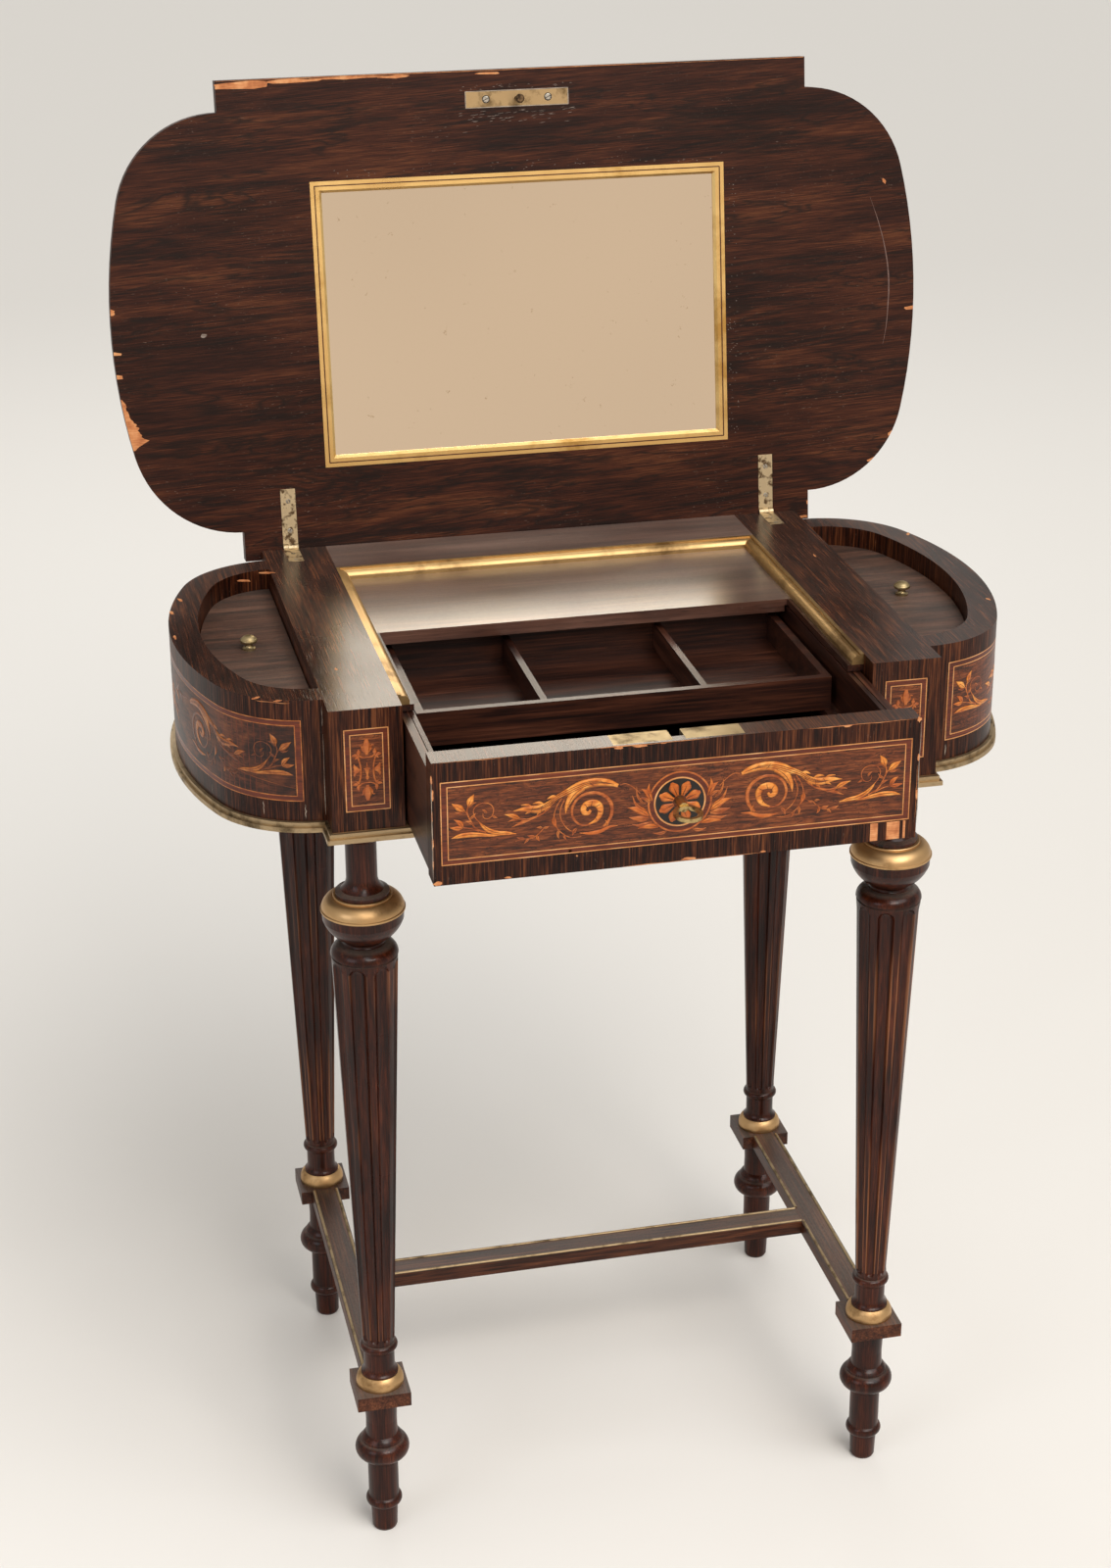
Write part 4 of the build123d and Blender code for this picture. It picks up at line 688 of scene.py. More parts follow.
def half_rinceau():
    """Right half of the drawer's scroll: palmette by the medallion, volute under an arching
    acanthus leaf, sprigs and a low leaf towards the end."""
    s = []
    # palmette: clusters of leaves round the medallion
    for start, end, bulge, bend, kind in (
        ((19.5, 2.5), (21.6, 15.5), 1.7, -0.12, "red"),
        ((20.5, 3.0), (27.0, 12.0), 2.1, 0.12, "red"),
        ((21.0, 1.0), (29.0, 5.5), 1.3, 0.15, "dull"),
        ((22.5, -5.0), (33.5, 8.0), 1.1, -0.15, "dull"),
        ((24.0, 0.0), (30.5, 14.0), 0.8, -0.15, "dull"),
        ((22.0, -8.5), (36.6, -0.8), 2.6, 0.08, "red"),
        ((21.5, -10.5), (36.0, -8.0), 2.4, -0.05, "dull"),
        ((19.5, -13.0), (33.5, -13.6), 1.7, -0.12, "dull"),
        ((15.0, -17.5), (29.5, -17.0), 1.9, 0.08, "red"),
        ((9.0, -21.0), (19.0, -21.4), 1.2, -0.12, "dull"),
    ):
        s += leaf(kind, start, end, bulge, bend)
    s.append(("dull", [(28, 9), (33, 14), (38, 17), (42, 16.6)], [0.25, 0.3, 0.3, 0.4]))
    # volute that rolls up into a snail
    s.append(("dull", [(53.5, -13), (49.2, -7.8), (47.6, -0.8), (49.4, 5.8), (54.8, 11.0),
                       (62.2, 12.8), (69.4, 10.8), (74.2, 5.4), (75.4, -1), (73, -7),
                       (67.8, -10.6), (62.5, -10.2)],
              [0.8, 1.2, 1.4, 1.4, 1.2, 1.1, 1.0, 1.0, 0.9, 0.8, 0.7, 0.6]))
    s.append(("bright", [(63.8, -10.2), (58.4, -7.4), (55.6, -1.6), (57.2, 3.4), (62.0, 5.4),
                         (66.6, 3.4), (67.2, -0.6), (64.2, -2.0), (62.4, 0.2)],
              [0.5, 1.5, 2.1, 2.5, 2.5, 2.3, 2.0, 1.5, 0.9]))
    eye_u, eye_v = 61.6, -0.4
    for angle in (2.2, 1.3, 0.5, 3.1, 4.0):
        ray = [(eye_u + reach * math.cos(angle + lag), eye_v + reach * math.sin(angle + lag))
               for reach, lag in ((2.8, 0.0), (5.2, 0.25), (7.6, 0.3))]
        s.append(("line", ray, [0.1, 0.22, 0.08]))
    s.append(("red", [(43.6, -13.2), (49.6, -13.8), (55.6, -16.2), (62.4, -17.0), (70.2, -16.0)],
              [0.2, 1.0, 1.4, 1.3, 0.2]))
    s += leaf("red", (51.6, -13.4), (52.4, -8.2), 0.8, 0.2)
    s += leaf("dull", (72.0, -12.2), (75.2, -17.6), 1.2, 0.1)
    # arching acanthus with one lobe curling down
    s.append(("bright", [(43.4, 16.2), (49.6, 18.8), (57, 20.1), (64, 19.9), (70.8, 17.9),
                         (77.4, 15.4), (84.6, 12.4), (92, 7.2), (98.5, 4.8), (104.7, 5.2),
                         (109.6, 5.6), (115.6, 5.0)],
              [1.3, 2.5, 3.1, 3.4, 3.7, 2.7, 1.8, 2.2, 2.8, 2.3, 1.4, 0.15]))
    s.append(("bright", [(67.5, 17.6), (73.4, 13.8), (77.3, 8.6), (79.3, 3.4), (79.8, -0.8)],
              [2.6, 3.0, 2.2, 1.2, 0.12]))
    for start, end, bulge in (((86, 12.6), (92.5, 11.4), 1.1), ((89.0, 7.4), (94.2, 2.6), 1.1),
                              ((95, 8.2), (102.5, 9.0), 1.0), ((96.0, 3.4), (99.6, 0.4), 1.0),
                              ((103, 7.0), (110.5, 8.6), 0.8), ((102.5, 3.6), (107.6, 1.8), 0.8)):
        s += leaf("bright", start, end, bulge, 0.1, vein=False)
    for shift, start in ((0.0, 0), (1.5, 1), (-1.5, 0)):
        way = [(46, 17.4), (54, 19.8), (63, 20.0), (70.5, 18.0), (78, 15.0), (85.5, 11.6),
               (92.5, 7.2), (99, 4.8), (107, 5.2)]
        s.append(("line", [(u, v + shift * math.sin(math.pi * i / 8))
                           for i, (u, v) in enumerate(way)][start:],
                  [0.08] + [0.2] * (7 - start) + [0.08]))
    s.append(("line", [(68, 17.0), (73.6, 12.8), (76.8, 8.0), (78.6, 3.0)], [0.1, 0.22, 0.2, 0.06]))
    for u, v, du, dv in ((56, 21.8, -3.4, -3.6), (64, 22.0, -3.6, -4.2), (88, 9.8, 2.4, -3.6),
                         (95.5, 7.6, 1.0, -5.2), (101.5, 7.2, 2.2, -4.0)):
        s.append(("line", [(u, v), (u + du * 0.5 + 0.4, v + dv * 0.5), (u + du, v + dv)],
                  [0.06, 0.18, 0.06]))
    # stems between volute and end
    s.append(("dull", [(80.6, 9.4), (83.0, 4.0), (83.5, -2.0), (81.6, -7.6), (77.6, -12.8),
                       (72.6, -15.4)], [0.4, 0.3, 0.3, 0.3, 0.3, 0.2]))
    s.append(("dull", [(82.4, 11.0), (86.0, 5.0), (87.8, -1.5), (86.6, -9.0), (82.4, -14.8),
                       (76.4, -18.6), (69.0, -18.8)], [0.4, 0.35, 0.35, 0.35, 0.3, 0.3, 0.15]))
    s += leaf("red", (88.0, -2.4), (86.0, -10.6), 1.6, 0.08)
    s += leaf("dull", (84.0, -12.0), (84.6, -18.6), 1.0, 0.15)
    s += leaf("dull", (81.0, -15.4), (79.4, -20.2), 0.8, 0.1)
    s.append(("dull", [(90, 5.2), (96, 0.8), (103, -1.7), (110, -4.1), (117, -6.8)],
              [0.4, 0.6, 0.9, 1.2, 0.15]))
    s += leaf("dull", (105.0, -2.4), (113.4, 0.2), 1.1, -0.12)
    s += leaf("bright", (111.0, -1.6), (121.8, 3.0), 1.7, 0.06)
    s += leaf("dull", (112.5, -2.4), (119.6, -2.6), 0.9, 0.12)
    s += leaf("dull", (95.6, -9.8), (91.2, -8.6), 0.9, 0.1)
    s += leaf("dull", (96.0, -9.6), (100.0, -9.0), 0.8, 0.1)
    s.append(("dull", [(94.6, -9.4), (98.4, -13.4), (103, -16.4), (108.6, -16.4), (114.6, -17.4)],
              [0.25, 0.35, 0.35, 0.3, 0.15]))
    s += leaf("dull", (100.6, -15.4), (106.4, -13.8), 1.3, -0.1)
    s += leaf("red", (99.6, -14.6), (98.0, -19.0), 1.0, 0.1)
    s += leaf("dull", (107.4, -16.2), (113.6, -14.6), 1.1, -0.1)
    s += leaf("dull", (105.0, -17.0), (108.4, -19.8), 0.8, 0.1)
    # low S leaf and its stems
    s.append(("bright", [(114.0, -11.9), (120.2, -10.9), (127, -9.8), (132.6, -7.5), (137, -3.7),
                         (139.8, 0.2)], [0.3, 1.4, 1.6, 1.6, 1.0, 0.12]))
    s.append(("bright", [(124.0, -11.6), (131, -11.4), (139, -10.0), (147, -9.3), (153.5, -9.7),
                         (158.4, -10.8)], [0.2, 0.9, 1.5, 1.9, 1.5, 0.15]))
    s.append(("line", [(118, -11.2), (127, -9.7), (133, -7.0), (137.4, -2.6)],
              [0.06, 0.18, 0.18, 0.06]))
    s.append(("line", [(134, -10.8), (143, -9.5), (151, -9.3), (156, -10.2)],
              [0.06, 0.18, 0.16, 0.06]))
    s.append(("dull", [(134.6, -8.8), (141.2, -5.4), (145.2, 1.2), (147.4, 8.0), (146.4, 12.4)],
              [0.6, 0.55, 0.5, 0.45, 0.35]))
    s += leaf("bright", (146.3, 11.2), (142.4, 20.0), 2.3, -0.06)
    s += leaf("dull", (146.6, 10.0), (140.8, 14.0), 1.0, -0.15)
    s += leaf("bright", (149.2, 8.4), (157.8, 14.6), 2.3, 0.0)
    s += leaf("dull", (149.0, 8.0), (155.6, 8.2), 1.0, -0.15)
    s.append(("dull", [(146.8, 4.6), (148.0, 7.2), (150.0, 9.0)], [0.4, 0.4, 0.3]))
    s.append(("dull", [(139.4, -7.4), (145.2, -4.8), (151, -3.4)], [0.45, 0.4, 0.3]))
    s += leaf("red", (150.4, -3.6), (156.4, 2.8), 1.7, 0.1)
    s += leaf("red", (150.6, -3.8), (159.4, -2.8), 1.6, -0.05)
    s += leaf("dull", (143.4, -2.2), (149.0, 1.0), 1.0, 0.1)
    s += leaf("dull", (145.6, 2.4), (141.6, 6.4), 0.9, 0.1)
    s.append(("dull", [(139.4, -0.6), (142.6, 4.5), (142.6, 9.4), (139, 12.5), (133.6, 12.7),
                       (129.9, 9.6), (129.7, 4.8), (132.6, 1.4), (136.2, 2.4), (136.6, 5.6)],
              [0.35, 0.3, 0.3, 0.3, 0.3, 0.3, 0.3, 0.25, 0.25, 0.15]))
    s += leaf("dull", (130.2, 3.4), (126.8, 1.2), 0.8, 0.1)
    s += leaf("dull", (134.0, 4.8), (137.2, 8.4), 0.8, 0.1)
    return s


def medallion():
    """Rosette of eight petals on the black ground; the keyhole is in its middle."""
    s = []
    for i in range(8):
        angle = math.pi / 8 + i * math.pi / 4
        cos, sin = math.cos(angle), math.sin(angle)
        s.append(("red", [(r * cos, r * sin) for r in (4.8, 8.0, 12.2, 15.6)],
                  [1.3, 2.5, 3.5, 0.9]))
        s.append(("line", [(r * cos, r * sin) for r in (5.2, 9.0, 12.6)], [0.3, 0.24, 0.06]))
    return s


def draw(name, strokes, lay, body):
    """Lays strokes on a face as flat inlaid slips."""
    bpy.ops.object.select_all(action="DESELECT")
    bpy.ops.curve.primitive_bezier_curve_add()
    obj = bpy.context.object
    obj.name = obj.data.name = name
    curve = obj.data
    curve.dimensions = "3D"
    curve.bevel_depth = 1.0
    curve.bevel_resolution = 1
    curve.resolution_u = 5
    curve.use_fill_caps = True
    curve.twist_mode = "Z_UP"
    curve.splines.remove(curve.splines[0])
    used = [kind for kind in KINDS if any(stroke[0] == kind for stroke in strokes)]
    for kind in used:
        curve.materials.append(KIND_MATERIALS[kind])
    for kind, points, widths in strokes:
        spline = curve.splines.new("BEZIER")
        spline.bezier_points.add(len(points) - 1)
        spline.material_index = used.index(kind)
        spline.radius_interpolation = "CARDINAL"
        level = LIFT[kind] / FLATTEN
        for point, (u, v), width in zip(spline.bezier_points, points, widths):
            point.co = (u, v, level)
            point.radius = width
            point.handle_left_type = point.handle_right_type = "AUTO"
    bpy.ops.object.select_all(action="DESELECT")
    obj.select_set(True)
    bpy.context.view_layer.objects.active = obj
    bpy.ops.object.convert(target="MESH")
    obj = bpy.context.object
    mesh = obj.data
    for vertex in mesh.vertices:
        u, v, h = vertex.co
        vertex.co = (u * MM, v * MM, (h * FLATTEN) * MM + GROUND_HEIGHT)
    bpy.ops.object.shade_smooth()
    settle(obj, lay, body)


def disc(name, radius, height, lay, body, material, hole=0.0):
    """A flat disc or ring of veneer."""
    bpy.ops.object.select_all(action="DESELECT")
    bpy.ops.mesh.primitive_circle_add(vertices=72, radius=radius, fill_type="NGON")
    obj = bpy.context.object
    obj.name = obj.data.name = name
    bpy.ops.object.mode_set(mode="EDIT")
    bpy.ops.mesh.select_all(action="SELECT")
    if hole:
        bpy.ops.mesh.inset(thickness=radius - hole)
        bpy.ops.mesh.delete(type="FACE")
    bpy.ops.object.mode_set(mode="OBJECT")
    solid = obj.modifiers.new("thickness", "SOLIDIFY")
    solid.thickness = LET_IN
    solid.offset = -1.0
    bpy.ops.object.modifier_apply(modifier="thickness")
    for vertex in obj.data.vertices:
        vertex.co.z += height
    settle(obj, lay, body, material)


def flakes(name, spots, lay, body, material):
    """Chips: thin slips with broken outlines. A spot is (u, v, length, width, angle) in mm."""
    shape = bmesh.new()
    for u, v, length, width, angle in spots:
        corners = 11
        ring = []
        for i in range(corners):
            around = 2 * math.pi * (i + random.uniform(-0.3, 0.3)) / corners
            reach = random.uniform(0.6, 1.15) / 2
            a = length * reach * math.cos(around)
            b = width * reach * math.sin(around)
            ring.append((u + a * math.cos(angle) - b * math.sin(angle),
                         v + a * math.sin(angle) + b * math.cos(angle)))
        upper = [shape.verts.new((a * MM, b * MM, CHIP_HEIGHT)) for a, b in ring]
        lower = [shape.verts.new((a * MM, b * MM, -LET_IN)) for a, b in ring]
        shape.faces.new(upper)
        shape.faces.new(list(reversed(lower)))
        for i in range(corners):
            k = (i + 1) % corners
            shape.faces.new((lower[i], lower[k], upper[k], upper[i]))
    settle(piece_of(shape, name), lay, body, material)


def screw(name, u, v, lay, body, material, radius=2.1, slant=0.4, proud=0.55):
    """Domed screw head with an open slot, proud of its plate by some tenths of a millimetre."""
    shape = bmesh.new()
    slot = 0.28
    corners = 13
    for half in (-1, 1):
        rows = []
        for level, share in ((-0.2, 1.0), (0.45 * proud, 1.0), (proud, 0.72)):
            row = []
            for i in range(corners):
                around = math.pi * i / (corners - 1)
                a = radius * math.cos(around) * share
                b = half * (slot + (radius - slot) * math.sin(around) * share)
                row.append(shape.verts.new((
                    (u + a * math.cos(slant) - b * math.sin(slant)) * MM,
                    (v + a * math.sin(slant) + b * math.cos(slant)) * MM, level * MM)))
            rows.append(row)
        shape.faces.new(rows[0])
        shape.faces.new(rows[-1])
        for below, above in zip(rows, rows[1:]):
            for i in range(corners):
                k = (i + 1) % corners
                shape.faces.new((below[i], below[k], above[k], above[i]))
    settle(piece_of(shape, name), lay, body, material)


# ------------------------------------------------------------------ drawer front
WHOLE = 1.0         # a flat panel isn't cut into lengths
DRAWER_BORDER = 5.5 * MM
framed_field("drawer_panel", DRAWER_HALF - DRAWER_BORDER, 30.5 * MM, 4.4 * MM, 3.6 * MM,
             on_drawer, "drawer", WHOLE)
right_scroll = half_rinceau()
draw("drawer_scroll_right", right_scroll, on_drawer, "drawer")
draw("drawer_scroll_left", flip(right_scroll), on_drawer, "drawer")
for label, radius, hole, lift, material in (
    ("outer_ring", 22.6, 21.4, 0.030, leaf_dull), ("band", 21.4, 18.3, 0.020, banding),
    ("inner_ring", 18.3, 17.2, 0.035, stringing), ("ground", 17.4, 5.3, 0.015, ebony),
):
    disc(f"medallion_{label}", radius * MM, GROUND_HEIGHT + lift * MM, on_drawer, "drawer",
         material, hole * MM)
draw("medallion_rosette", medallion(), on_drawer, "drawer")


# ------------------------------------------------------------------ posts
def half_arabesque():
    """Right half of the upright ornament of a post."""
    s = []
    # flames at the top and the bottom
    for end, sign in ((23.4, 1), (-23.2, -1)):
        s.append(("bright", [(0.3, 11.4 * sign), (0.6, 14 * sign), (0.8, 18.4 * sign),
                             (0.4, end)], [0.7, 1.0, 1.6, 0.7]))
        s.append(("dull", [(0.9, 13.4 * sign), (2.2, 16.2 * sign), (2.4, 19.4 * sign)],
                  [0.6, 0.7, 0.2]))
        s.append(("dull", [(1.0, 13.0 * sign), (3.2, 15.8 * sign), (3.8, 18.6 * sign),
                           (5.2, 18.4 * sign)], [0.4, 0.6, 0.45, 0.3]))
    # garland, stem and lower bracket
    s.append(("dull", [(0.0, 9.4), (2.6, 9.5), (4.8, 10.6), (6.4, 12.4)], [0.4, 0.5, 0.6, 0.5]))
    s.append(("dull", [(6.6, 11.0), (5.6, 7.6), (4.7, 3.6), (4.5, -1.6), (5.0, -6.2),
                       (6.4, -10.4)], [0.6, 0.55, 0.55, 0.6, 0.6, 0.6]))
    s.append(("dull", [(0.0, -9.6), (2.6, -9.8), (4.8, -10.8), (6.2, -12.0)],
              [0.3, 0.4, 0.5, 0.4]))
    for start, end, bulge in (((6.0, 11.6), (5.9, 16.0), 1.5), ((6.6, 11.2), (10.6, 11.4), 1.3),
                              ((5.6, 10.8), (8.4, 8.4), 0.9), ((6.2, -11.0), (6.4, -15.8), 1.3),
                              ((6.8, -10.6), (10.4, -10.8), 1.2), ((5.8, -10.2), (8.2, -8.2), 0.7)):
        s += leaf("bright", start, end, bulge, 0.05, vein=False)
    # side fleurons
    s.append(("bright", [(9.2, 4.8), (8.6, 2.6), (7.2, 1.2), (5.2, 0.4)], [0.3, 1.2, 1.3, 0.5]))
    s.append(("bright", [(9.4, 0.6), (8.0, 0.4), (6.6, 0.6)], [1.5, 1.7, 1.0]))
    s.append(("bright", [(9.0, -4.6), (8.8, -2.6), (7.4, -1.0), (5.4, -0.2)],
              [0.3, 0.9, 1.0, 0.5]))
    # little vase in the middle
    s.append(("bright", [(0.0, 1.4), (1.2, 0.9), (2.4, 0.8)], [0.6, 0.6, 0.3]))
    s.append(("bright", [(0.2, 1.0), (0.3, -1.6), (0.2, -3.8), (0.3, -6.0), (0.2, -7.4)],
              [1.2, 0.9, 0.5, 0.9, 0.2]))
    s.append(("dull", [(0.1, 2.4), (0.1, 5.4)], [0.45, 0.2]))
    return s


for side, label in ((-1, "left"), (1, "right")):
    lay = on_post(side)
    framed_field(f"post_panel_{label}", 15.9 * MM, 31.2 * MM, 4.0 * MM, 4.0 * MM, lay, "case",
                 WHOLE)
    arabesque = [("rust" if stroke[0] == "bright" else stroke[0], *stroke[1:])
                 for stroke in half_arabesque()]
    draw(f"post_arabesque_{label}", arabesque + flip(arabesque), lay, "case")


# ------------------------------------------------------------------ curved ends
# darker kinds for the left end: stains and painted shade together
DULLER_AND_SHADED = {"bright": "old", "red": "old", "dull": "stained"}


def half_end_spray():
    """Right half of the spray on a curved end: a flower, then the scroll of the drawer."""
    s = []
    for i in range(4):
        angle = math.pi * (i - 1.5) / 4.2
        s += leaf("bright", (2 * math.cos(angle), 2 * math.sin(angle)),
                  (13 * math.cos(angle), 13 * math.sin(angle)), 3.0)
    s.append(("dull", [(10, 4), (20, 12), (30, 15), (42, 14), (56, 17)],
              [0.4, 0.5, 0.4, 0.5, 0.4]))
    s += leaf("bright", (18, 10), (30, 5), 2.2, 0.12)
    s += leaf("dull", (22, 12.5), (33, 21), 1.9, -0.12)
    s += leaf("bright", (9, -6), (24, -15), 2.4, 0.15)
    s += leaf("dull", (12, -4), (30, -6.5), 1.9, 0.1)
    s += leaf("dull", (32, 14.5), (42, 8.0), 1.6, 0.15)
    s += [stroke for stroke in moved(half_rinceau(), 18.0)
          if stroke[1][0][0] > SPRAY_FROM]
    return s


END_BORDER = 16 * MM
END_STEP = 5 * MM
SPRAY_FROM = 59.0     # mm from the middle of an end to where the scroll of the drawer takes over
for side, label in ((-1, "left"), (1, "right")):
    lay = on_end(side)
    # on the left end, away from the light, ground, lines and leaves are darker: stains and painted
    # shade
    framed_field(f"end_panel_{label}", END_LENGTH - END_BORDER, 31.0 * MM, 4.4 * MM, 3.8 * MM, lay,
                 "case", END_STEP, *((end_ground, leaf_old_shaded) if side < 0 else ()))
    spray = half_end_spray()
    if side < 0:
        spray = [(DULLER_AND_SHADED.get(kind, kind), points, widths) for kind, points, widths in spray]
    draw(f"end_spray_{label}", spray + flip(spray), lay, "case")

# ------------------------------------------------------------------ wear and fittings
# Chips are (u, v, length, width, angle) in mm on their face.
LID_CHIPS = [
    (-218, 363.5, 46, 6.5, 0.0), (-176, 365.0, 50, 3.6, 0.0), (-132, 365.6, 60, 2.2, 0.0),
    (-96, 365.0, 26, 2.6, 0.0), (304.5, 266, 5.0, 3.2, -0.9), (231.5, -6.6, 11, 2.6, 0.0),
    (-23, 364.6, 28, 2.4, 0.0), (236.4, 5, 1.4, 4.0, 0.0),
]
flakes("lid_chips", LID_CHIPS, on_lid, "lid", bare_wood)


CHIP_STEP = 1.1     # mm between two points along a broken edge


def lid_edge(side, v):
    """How far the lid reaches to one side at the height v, in mm."""
    board = nodes["lid_board"]
    inwards = board.matrix_world.inverted()
    start = inwards @ on_lid(side * 0.6, v * MM, -6 * MM)
    spot = board.ray_cast(start, inwards.to_3x3() @ Vector((-side, 0.0, 0.0)))[1]
    return abs((board.matrix_world @ spot).x) / MM


def edge_chips(name, runs):
    """Veneer broken from the curved edges of the lid. A run is (side, [(v, depth) ...]) in mm."""
    shape = bmesh.new()
    for side, depths in runs:
        outer, inner = [], []
        for (v0, d0), (v1, d1) in zip(depths, depths[1:]):
            count = max(1, round(abs(v1 - v0) / CHIP_STEP))
            for i in range(count):
                v = v0 + (v1 - v0) * i / count
                depth = (d0 + (d1 - d0) * i / count) * random.uniform(0.85, 1.15)
                edge = lid_edge(side, v) - 0.1
                outer.append((side * edge, v))
                inner.append((side * (edge - depth), v + random.uniform(-0.2, 0.2)))
        rows = []
        for h in (CHIP_HEIGHT, -LET_IN):
            rows.append([[shape.verts.new((a * MM, b * MM, h)) for a, b in line]
                         for line in (outer, inner)])
        for i in range(len(outer) - 1):
            (o, n), (p, m) = rows
            for face in ((o[i], o[i + 1], n[i + 1], n[i]), (p[i], m[i], m[i + 1], p[i + 1]),
                         (o[i], p[i], p[i + 1], o[i + 1]), (n[i], n[i + 1], m[i + 1], m[i])):
                shape.faces.new(face)
        for i in (0, -1):
            (o, n), (p, m) = rows
            shape.faces.new((o[i], n[i], m[i], p[i]))
    settle(piece_of(shape, name), on_lid, "lid", bare_wood)


bpy.context.view_layer.update()
edge_chips("lid_edge_chips", [
    (-1, [(128, 0.4), (124, 3.5), (120, 2.6), (116, 4.6), (112, 4.4), (108, 7.0), (104, 8.6),
          (101, 8.0), (97, 11.0), (94.5, 14.5), (92, 9.0), (89, 3.5), (86, 0.4)]),
    (-1, [(147.6, 0.4), (146.4, 4.2), (144, 4.6), (142.4, 0.4)]),
    (-1, [(165.2, 0.4), (164.2, 6.0), (162.6, 6.4), (161.2, 0.4)]),
    (-1, [(198.6, 0.4), (197.4, 3.2), (194.4, 3.0), (192.6, 0.4)]),
    (1, [(163.8, 0.4), (162.8, 6.6), (160.6, 6.8), (159.0, 0.4)]),
    (1, [(60.5, 0.4), (58.5, 2.6), (55.5, 0.4)]), (1, [(39.5, 0.4), (37.0, 3.6), (34.5, 0.4)]),
])


def scatter(count, *spans):
    """Random chips; each span is the least and the most of one of their five measures."""
    return [tuple(random.uniform(*span) for span in spans) for _ in range(count)]


# crumbs of dried polish: right of the mirror frame, above it and round the strike plate
crumbs = scatter(70, (169.5, 178), (66, 288), (0.7, 1.6), (0.25, 0.5), (-0.3, 0.3))
crumbs += scatter(50, (-150, 168), (289.5, 297), (0.8, 2.2), (0.2, 0.45), (-0.3, 0.3))
for _ in range(56):
    below = abs(random.gauss(0.0, 6.0))
    crumbs.append((random.uniform(-46, 48), 336.5 - below, random.uniform(2.2, 6.0),
                   random.uniform(0.2, 0.36), random.uniform(0.02, 0.16)))
crumbs += scatter(24, (-46, 46), (352.5, 356), (1.0, 2.5), (0.2, 0.4), (-0.2, 0.2))
crumbs.append((-258.4, 174.0, 4.6, 4.0, 0.0))
flakes("lid_polish_residue", crumbs, on_lid, "lid", residue)
# a long scrape towards the right edge, and the rubbed front arris
draw("lid_scrape", [
    ("scuff", [(292.2, 253.9), (299.8, 232.2), (305.3, 210.5), (308.2, 186.3), (307.4, 162.7),
               (305.7, 146.2), (303.1, 133.4)], [0.1, 0.35, 0.5, 0.7, 0.5, 0.3, 0.1]),
    ("bare", [(-236, 366.9), (-120, 367.0), (-30, 366.8), (60, 367.0), (150, 366.8),
              (236, 367.0)], [0.1, 0.3, 0.2, 0.3, 0.12, 0.25]),
], on_lid, "lid")
RIM_CHIPS = [
    (-309, 49, 3.0, 12, 0.2), (-312, -5, 2.4, 9, 0.0), (-247, 110, 12, 4.5, -0.35),
    (-226, 124, 16, 4.0, -0.2), (-269, -140, 7, 3.2, 0.5), (-255, -149, 6, 3.0, 0.3),
    (-300, 76, 3, 10, 0.3), (296, 96, 3.0, 8.0, -0.5), (302, -68, 2.6, 7.0, 0.4),
    (-206, -98, 1.8, 6.0, 0.0), (205, 62, 1.6, 8.0, 0.0),
]
flakes("rim_chips", RIM_CHIPS, on_top, "case", bare_wood)
FRONT_CHIPS = [
    (-43, 43.6, 8, 1.8, 0.0), (-28, 43.6, 12, 2.2, 0.0), (-12, 44.2, 5, 1.4, 0.0),
    (7, -43.6, 11, 2.6, 0.0), (-77, -29, 3.2, 2.4, 0.0), (-72, -33, 1.6, 1.4, 0.0),
    (169.8, 44.0, 3.4, 4.2, 0.0), (170.4, 16, 2.0, 7.0, 0.0), (170.6, -12, 1.8, 9.0, 0.0),
    (-168.6, -43.0, 6.4, 4.2, 0.3), (-170.6, 22, 1.6, 8.0, 0.0),
    (60, -44.0, 4, 1.6, 0.0), (-120, -43.8, 6, 1.6, 0.0), (118, 44.0, 7, 1.5, 0.0),
    (-171.1, 33, 1.3, 8.0, 0.0), (-171.2, 6, 1.1, 9.0, 0.0), (-171.1, -13, 1.5, 11.0, 0.0),
    (-171.2, -29, 1.2, 7.0, 0.0),
]
flakes("drawer_front_chips", FRONT_CHIPS, on_drawer, "drawer", bare_wood)
# crossbanding lost from the lower right corner of the drawer front
for index, (u0, u1) in enumerate(((137.5, 143.0), (149.5, 159.0), (161.4, 163.2))):
    strip(f"lost_banding_{index}", u0 * MM, u1 * MM, -44.6 * MM, -31.2 * MM, CHIP_HEIGHT,
          on_drawer, "drawer", bare_wood, WHOLE)


def crack(u, v0, v1, width, kind="dust"):
    """A wavering upright line."""
    count = 6
    points = [(u + random.uniform(-0.25, 0.25), v0 + (v1 - v0) * i / count)
              for i in range(count + 1)]
    return (kind, points, [0.05] + [width * random.uniform(0.4, 1.2) for _ in range(count - 1)]
            + [0.05])


def level_crack(u0, u1, v, width, kind="bare"):
    """A wavering level line, as rubbed wood along an arris."""
    line = crack(v, u0, u1, width, kind)
    return (line[0], [(b, a) for a, b in line[1]], line[2])


draw("drawer_front_worn_edges", [
    level_crack(-60, 20, 44.6, 0.35), level_crack(90, 168, 44.6, 0.25),
    level_crack(-166, -120, 44.7, 0.2), level_crack(-40, 60, -44.6, 0.3),
    crack(-171.3, -40, 34, 0.25), crack(171.2, -34, 42, 0.3), crack(170.0, -30, 10, 0.2, "bare"),
], on_drawer, "drawer")
JOINT = END_LENGTH / MM - 1.0
draw("end_cracks_left", [
    crack(JOINT, -42, 20, 0.3), crack(JOINT, 26, 41, 0.22), crack(-JOINT, -40, 30, 0.25),
    crack(184, -44, -33, 0.4), crack(153, -43, -33, 0.3), crack(96, -43, -36, 0.2),
    ("stained", [(110, -8), (134, -13), (158, -17), (178, -21)], [0.1, 0.35, 0.3, 0.1]),
    level_crack(150, 176, 43.8, 0.35),
], on_end(-1), "case")
